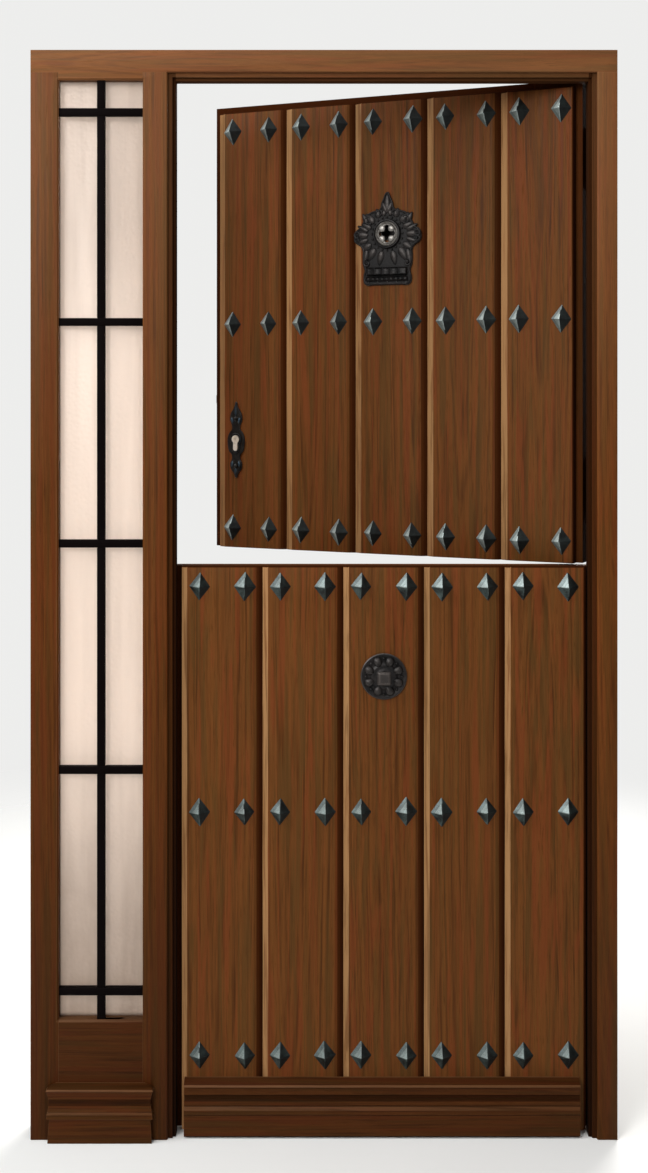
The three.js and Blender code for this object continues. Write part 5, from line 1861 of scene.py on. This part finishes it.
@dataclass
class InsideIron:
    """Hinges, lock, handle and slide bolt, with their screws."""

    places: Places
    screws: Screws
    hinge_plate: float = 2.8 * MM
    hinge_seam: float = 60 * MM
    hinge_holes: tuple[tuple[float, float], ...] = ((12, 14), (30, 26), (48, 14))   # from seam and pin
    backplate: float = 3.8 * MM
    backplate_inset: float = 13 * MM
    bolt_case: float = 3.3 * MM
    bolt_case_inset: tuple[float, float] = (22 * MM, 6 * MM)
    strike_inset: float = 9 * MM

    def build(self, shop: Paintshop) -> None:
        """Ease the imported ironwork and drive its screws.

        Args:
            shop: Finishes and hangs it.
        """
        self.hinges(shop)
        eased = (
            ("lever_handle", Body.LEVER, Slot.IRON, Finish.CAST, 0.6),
            ("lever_backplate", Body.UPPER, Slot.IRON, Finish.FORGED, 1.0),
            ("peephole_sleeve", Body.UPPER, Slot.IRON, Finish.CAST, 0.6),
            ("peephole_cover", Body.COVER, Slot.IRON, Finish.CAST, 0.6),
            ("lock_case", Body.UPPER, Slot.STEEL, Finish.STEEL, 0.3),
            ("latch_bolt", Body.LATCH, Slot.STEEL, Finish.STEEL, 0.6),
            ("dead_bolt", Body.DEAD_BOLT, Slot.STEEL, Finish.STEEL, 0.8),
            ("slide_bolt_case", Body.LOWER, Slot.IRON, Finish.FORGED, 0.8),
            ("slide_bolt", Body.SLIDE_BOLT, Slot.IRON, Finish.FORGED, 0.5),
            ("slide_bolt_keep", Body.FRAME, Slot.IRON, Finish.FORGED, 0.8),
            ("strike_plate", Body.FRAME, Slot.STEEL, Finish.STEEL, 0.3),
        )
        for node, body, slot, finish, radius in eased:
            shop.hang(softened(node, radius * MM, 50.0), body, slot, finish, node)
        self.plate_screws(shop)

    def hinges(self, shop: Paintshop) -> None:
        """Ease the hinges and drive three screws into each plate.

        Args:
            shop: Finishes and hangs them.
        """
        leaves = (("upper", Body.UPPER, self.places.upper), ("lower", Body.LOWER, self.places.lower))
        for leaf, body, hanging in leaves:
            for end in ("bottom", "top"):
                for half, carrier in (("jamb", Body.FRAME), ("leaf", body)):
                    node = f"hinge_{leaf}_leaf_{end}_{half}_half"
                    shop.hang(softened(node, 0.5 * MM, 50.0), carrier, Slot.IRON, Finish.FORGED, node)
            self.hinge_screws(shop, leaf, body, hanging)

    def hinge_screws(self, shop: Paintshop, leaf: str, body: Body, hanging: Hanging) -> None:
        """Drive the screws of one leaf's hinges.

        Args:
            shop: Finishes and hangs them.
            leaf: upper or lower.
            body: The leaf's body.
            hanging: The leaf's hinge line.
        """
        on_jamb, on_leaf = Blank(), Blank()
        face = self.places.frame_back + self.hinge_plate
        for end in ("bottom", "top"):
            low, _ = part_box(f"hinge_{leaf}_leaf_{end}_jamb_half")
            seam = low.z + self.hinge_seam
            for step, (z, dx) in enumerate(self.hinge_holes):
                place = face_place(hanging.pivot.x + dx * MM, face, seam - z * MM, inward=True)
                self.screws.drive(on_jamb, place, 0.7 * step + z)
                place = face_place(hanging.pivot.x - dx * MM, face, seam + z * MM, inward=True)
                self.screws.drive(on_leaf, place, 1.1 * step + z)
        shop.hang(on_jamb.finish(f"{leaf}_hinge_jamb_screws"), Body.FRAME, Slot.IRON, Finish.FORGED)
        driven = on_leaf.finish(f"{leaf}_hinge_leaf_screws", hanging.to_rest)
        shop.hang(driven, body, Slot.IRON, Finish.FORGED)

    def plate_screws(self, shop: Paintshop) -> None:
        """Drive the screws of the handle's back plate, the bolt's case and the strike plate.

        Args:
            shop: Finishes and hangs them.
        """
        back = self.places.frame_back
        plate_low, plate_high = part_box("lever_backplate")
        inside = Blank()
        for z in (plate_low.z + self.backplate_inset, plate_high.z - self.backplate_inset):
            place = face_place(self.places.lock_line, back + self.backplate, z, inward=True)
            self.screws.drive(inside, place, z * 9)
        driven = inside.finish("backplate_screws", self.places.upper.to_rest)
        shop.hang(driven, Body.UPPER, Slot.IRON, Finish.FORGED)
        case_low, case_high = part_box("slide_bolt_case")
        aside, above = self.bolt_case_inset
        on_case = Blank()
        for x in (case_low.x + aside, case_high.x - aside):
            for z in (case_low.z + above, case_high.z - above):
                place = face_place(x, back + self.bolt_case, z, inward=True)
                self.screws.drive(on_case, place, x * 31 + z)
        shop.hang(on_case.finish("slide_bolt_screws"), Body.LOWER, Slot.IRON, Finish.FORGED)
        strike_low, strike_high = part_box("strike_plate")
        steel = Blank()
        for z in (strike_low.z + self.strike_inset, strike_high.z - self.strike_inset):
            face = Matrix.Translation((strike_high.x, (strike_low.y + strike_high.y) / 2, z))
            self.screws.drive(steel, face @ Matrix.Rotation(math.pi / 2, 4, "Y"), z * 7)
        shop.hang(steel.finish("strike_screws"), Body.FRAME, Slot.STEEL, Finish.STEEL)


# ---- Frame ----


@dataclass
class FrameDressing:
    """The frame's timber, the sidelight's glass and bars, and the weatherboard.

    Attributes:
        boards: Each board, its grain and how light it is.
        slant: How far a face has to look up to be painted lit, and down to be painted in shade.
        moulding_depth: Where the doorway's moulding lies behind the frame's face.
        moulding_shade: How dark its outer and its inner step are painted, as shade.
        foot_light: From and to under the top of a foot moulding, and its painted light there: a highlight
            above 0, shade below.
    """

    ease: float = 1.0 * MM
    boards: tuple[tuple[str, Grain, float], ...] = (
        ("jamb_left", Grain.UPRIGHT, -0.35), ("mullion", Grain.UPRIGHT, -0.1),
        ("jamb_right", Grain.UPRIGHT, 0.55), ("head", Grain.LEVEL, 0.5),
        ("sidelight_bottom_rail", Grain.LEVEL, -0.6), ("sidelight_plinth", Grain.LEVEL, 0.25),
        ("glazing_bead_left", Grain.UPRIGHT, 0.4), ("glazing_bead_right", Grain.UPRIGHT, 0.5),
        ("glazing_bead_bottom", Grain.LEVEL, 0.4))
    crossbars: int = 5
    slant: float = 0.3
    moulding_width: float = 15.4 * MM
    step_width: float = 6.4 * MM
    moulding_depth: tuple[float, float] = (4 * MM, 43 * MM)
    moulding_shade: dict[str, tuple[float, float]] = field(default_factory=lambda: {
        "mullion": (-0.6, -1.0), "jamb_right": (-0.7, -1.0), "head": (-0.35, -0.8)})
    foot_light: tuple[tuple[float, float, float], ...] = (
        (0.5 * MM, 8 * MM, -0.3), (8 * MM, 16 * MM, 0.95), (26 * MM, 41 * MM, -0.65), (50 * MM, 57 * MM, 0.5))

    def build(self, shop: Paintshop, timber: Timber) -> None:
        """Ease and finish the frame's pieces.

        Args:
            shop: Finishes and hangs them.
            timber: Marks the boards.
        """
        for node, grain, tone in self.boards:
            piece = softened(node, self.ease, flats=node != "sidelight_bottom_rail")
            low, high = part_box(node)
            middle = Vector(((low.x + high.x) / 2, low.y, (low.z + high.z) / 2))
            # The sill pieces are painted lit where they face up and shaded where they face down, and the
            # plinth's moulding gets painted highlights and shade.
            if node in ("sidelight_plinth", "sidelight_bottom_rail", "glazing_bead_bottom"):
                paint_light_by_facing(piece, self.light_by_slope)
            if node == "sidelight_plinth":
                self.paint_foot_light(piece)
            self.paint_moulding_shade(piece, node, low, high)
            timber.saw(piece, grain, middle, arched=node in ("head", "jamb_right"), tone=tone)
            shop.hang(piece, Body.FRAME, Slot.FRAME_OAK, Finish.FRAME, node)
        board = softened("weatherboard", self.ease)
        # The weatherboard is painted lit and shaded the same way.
        paint_light_by_facing(board, self.light_by_slope)
        self.paint_foot_light(board)
        low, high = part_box("weatherboard")
        timber.saw(board, Grain.LEVEL, (low + high) / 2, tone=0.1)
        shop.hang(board, Body.LOWER, Slot.LEAF_OAK, Finish.FRAME, "weatherboard")
        shop.hang(softened("glass_pane", 0.8 * MM), Body.FRAME, Slot.GLASS, Finish.GLASS, "glass_pane")
        for node in ("grille_upright", *(f"grille_crossbar_{n + 1}" for n in range(self.crossbars))):
            shop.hang(softened(node, 1.0 * MM), Body.FRAME, Slot.IRON, Finish.BAR, node)

    def paint_moulding_shade(self, piece: bpy.types.Object, node: str, low: Vector, high: Vector) -> None:
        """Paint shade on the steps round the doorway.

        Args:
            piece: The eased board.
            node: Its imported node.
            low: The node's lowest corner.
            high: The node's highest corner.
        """
        if node not in self.moulding_shade:
            return
        outer, inner = self.moulding_shade[node]
        shallow, deep = self.moulding_depth
        for polygon, mark in zip(piece.data.polygons, wear_and_light_attribute(piece).data):
            x, y, z = polygon.center
            into = {"mullion": high.x - x, "jamb_right": x - low.x, "head": z - low.z}[node]
            over_doorway = node != "head" or x > 0
            if over_doorway and into < self.moulding_width and low.y + shallow < y < low.y + deep:
                mark.value = outer if into > self.step_width else inner

    def paint_foot_light(self, piece: bpy.types.Object) -> None:
        """Paint a foot moulding's light: highlights on the nose and the lower bead, shade on the top slope
        and in the cove.

        Args:
            piece: The eased plinth or weatherboard.
        """
        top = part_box("sidelight_plinth")[1].z
        for polygon, mark in zip(piece.data.polygons, wear_and_light_attribute(piece).data):
            down = top - polygon.center.z
            for start, end, level in self.foot_light:
                if start < down < end:
                    mark.value = level

    def light_by_slope(self, normal: Vector) -> float | None:
        """Paint light by slope: pale as a highlight where a face looks up, dark as shade where it looks down.

        Args:
            normal: The way a face looks.

        Returns:
            The painted light of the face, or None where it is upright.
        """
        if normal.z > self.slant:
            return 1.0
        return -1.0 if normal.z < -self.slant else None


# ---- Studio ----


@dataclass(frozen=True)
class Lamp:
    """One soft light."""

    name: str
    place: tuple[float, float, float]
    size: float
    power: float
    tint: tuple[float, float, float] = (1.0, 1.0, 1.0)


@dataclass
class Studio:
    """The floor, the lights and the camera."""

    target: tuple[float, float, float] = (0.3, 0.0, 1.1)
    eye: tuple[float, float, float] = (0.318, -3.2375, 1.46)
    lens: float = 50.98
    shift: float = -0.1743
    floor_middle: tuple[float, float, float] = (0.3, -0.2, -0.0006)
    floor_radius: float = 3.4
    floor_fade: tuple[float, float] = (1.3, 3.3)
    lamps: tuple[Lamp, ...] = (
        Lamp("key", (-1.9, -4.3, 3.3), 2.2, 190.0, (1.0, 0.98, 0.95)),
        Lamp("side", (-2.5, -1.1, 3.3), 1.7, 80.0, (0.95, 0.98, 1.0)),
        Lamp("fill", (2.2, -4.6, 1.7), 3.2, 22.0, (0.94, 0.97, 1.0)),
        Lamp("overhead", (0.3, -1.8, 4.6), 3.0, 45.0),
        Lamp("room", (1.6, 3.2, 2.6), 2.6, 190.0, (1.0, 0.98, 0.95)),
    )

    def build(self) -> None:
        """Set up the studio."""
        scene = bpy.context.scene
        scene.view_settings.view_transform = "Standard"
        self.floor()
        self.sky()
        for lamp in self.lamps:
            self.light(lamp)
        self.camera()

    def floor(self) -> None:
        """Lay a pale floor that fades into the background before its edge."""
        blank = Blank()
        disc = bmesh.ops.create_circle(blank.bm, cap_ends=True, segments=96, radius=self.floor_radius)
        bmesh.ops.translate(blank.bm, vec=self.floor_middle, verts=disc["verts"])
        floor = blank.finish("floor")
        material, desk, shader = blank_material("pale floor")
        place = desk.add("TexCoord").outputs["Object"]
        colour = desk.blend(desk.clouds(place, 3.0), (0.8, 0.8, 0.79, 1), (0.84, 0.84, 0.83, 1))
        desk.tree.links.new(colour, shader.inputs["Base Color"])
        shader.inputs["Roughness"].default_value = 0.8
        shader.inputs["Specular IOR Level"].default_value = 0.1
        away = desk.vector("LENGTH", desk.vector("MULTIPLY", place, (1.0, 1.0, 0.0)))
        gone = desk.spread(away, *self.floor_fade)
        clear = desk.add("BsdfTransparent").outputs[0]
        faded = desk.add("MixShader", {0: gone, 1: shader.outputs[0], 2: clear}).outputs[0]
        desk.tree.links.new(faded, material.node_tree.nodes["Material Output"].inputs["Surface"])
        floor.data.materials.append(material)

    def sky(self) -> None:
        """Surround the door with pale walls that throw back only a little of their light."""
        world = bpy.data.worlds.new("studio")
        world.use_nodes = True
        bpy.context.scene.world = world
        desk = Desk(world.node_tree)
        path = desk.add("LightPath")
        seen = desk.maths("ADD", path.outputs["Is Camera Ray"], path.outputs["Is Transmission Ray"],
                          clamp=True)
        behind = world.node_tree.nodes["Background"]
        behind.inputs["Color"].default_value = (0.85, 0.85, 0.84, 1)
        desk.tree.links.new(desk.maths("MULTIPLY_ADD", seen, 0.7, 0.3), behind.inputs["Strength"])

    def light(self, lamp: Lamp) -> None:
        """Hang one light and aim it at the door.

        Args:
            lamp: The light.
        """
        data = bpy.data.lights.new(lamp.name, "AREA")
        data.shape = "DISK"
        data.size = lamp.size
        data.energy = lamp.power
        data.color = lamp.tint
        holder = bpy.data.objects.new(lamp.name, data)
        bpy.context.scene.collection.objects.link(holder)
        holder.location = lamp.place
        aim = Vector(self.target) - Vector(lamp.place)
        holder.rotation_euler = aim.to_track_quat("-Z", "Y").to_euler()

    def camera(self) -> None:
        """Stand the camera in front of the door, level, at eye height."""
        data = bpy.data.cameras.new("camera")
        data.sensor_width = 36.0
        data.lens = self.lens
        data.shift_y = self.shift
        data.dof.use_dof = False
        holder = bpy.data.objects.new("camera", data)
        bpy.context.scene.collection.objects.link(holder)
        holder.location = self.eye
        holder.rotation_euler = (math.pi / 2, 0.0, 0.0)
        bpy.context.scene.camera = holder


# ---- Whole door ----


def main() -> None:
    """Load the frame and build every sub-assembly."""
    logging.basicConfig(level=logging.INFO, format="%(message)s")
    noise.seed_set(NOISE_SEED)
    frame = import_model()
    Studio().build()
    places = Places.read(frame)
    shop = Paintshop()
    timber = Timber()
    screws = Screws()
    FrameDressing().build(shop, timber)
    PlankField("upper", Body.UPPER, places.upper, places, rows=(42 * MM, 13 * MM, 41.5 * MM),
               tones=(0.5, 0.25, -0.15, -0.35, -0.3), v_width=15 * MM, outer_fall=((1.5, 0), (0, 1.5)),
               facet_light=((1.5, -0.9), (0.5, -1.0)), outer_highlight=0.6, outer_reach=4 * MM,
               joint_creep=(0, 0, 3, 6, 7, 0), stud_creep=(-5, 0, 6, 6, 8)).build(shop, timber)
    PlankField("lower", Body.LOWER, places.lower, places, rows=(146 * MM, 71 * MM, 39 * MM),
               tones=(0.45, 0.42, 0.22, 0.3, 0.38)).build(shop, timber)
    LeafBack("upper", Body.UPPER, places.upper, places).build(shop, timber)
    LeafBack("lower", Body.LOWER, places.lower, places).build(shop, timber)
    PeepholeGrille(places).build(shop)
    KeyPlate(places).build(shop)
    PullKnob(places).build(shop)
    InsideIron(places, screws).build(shop)


if __name__ == "__main__":
    main()
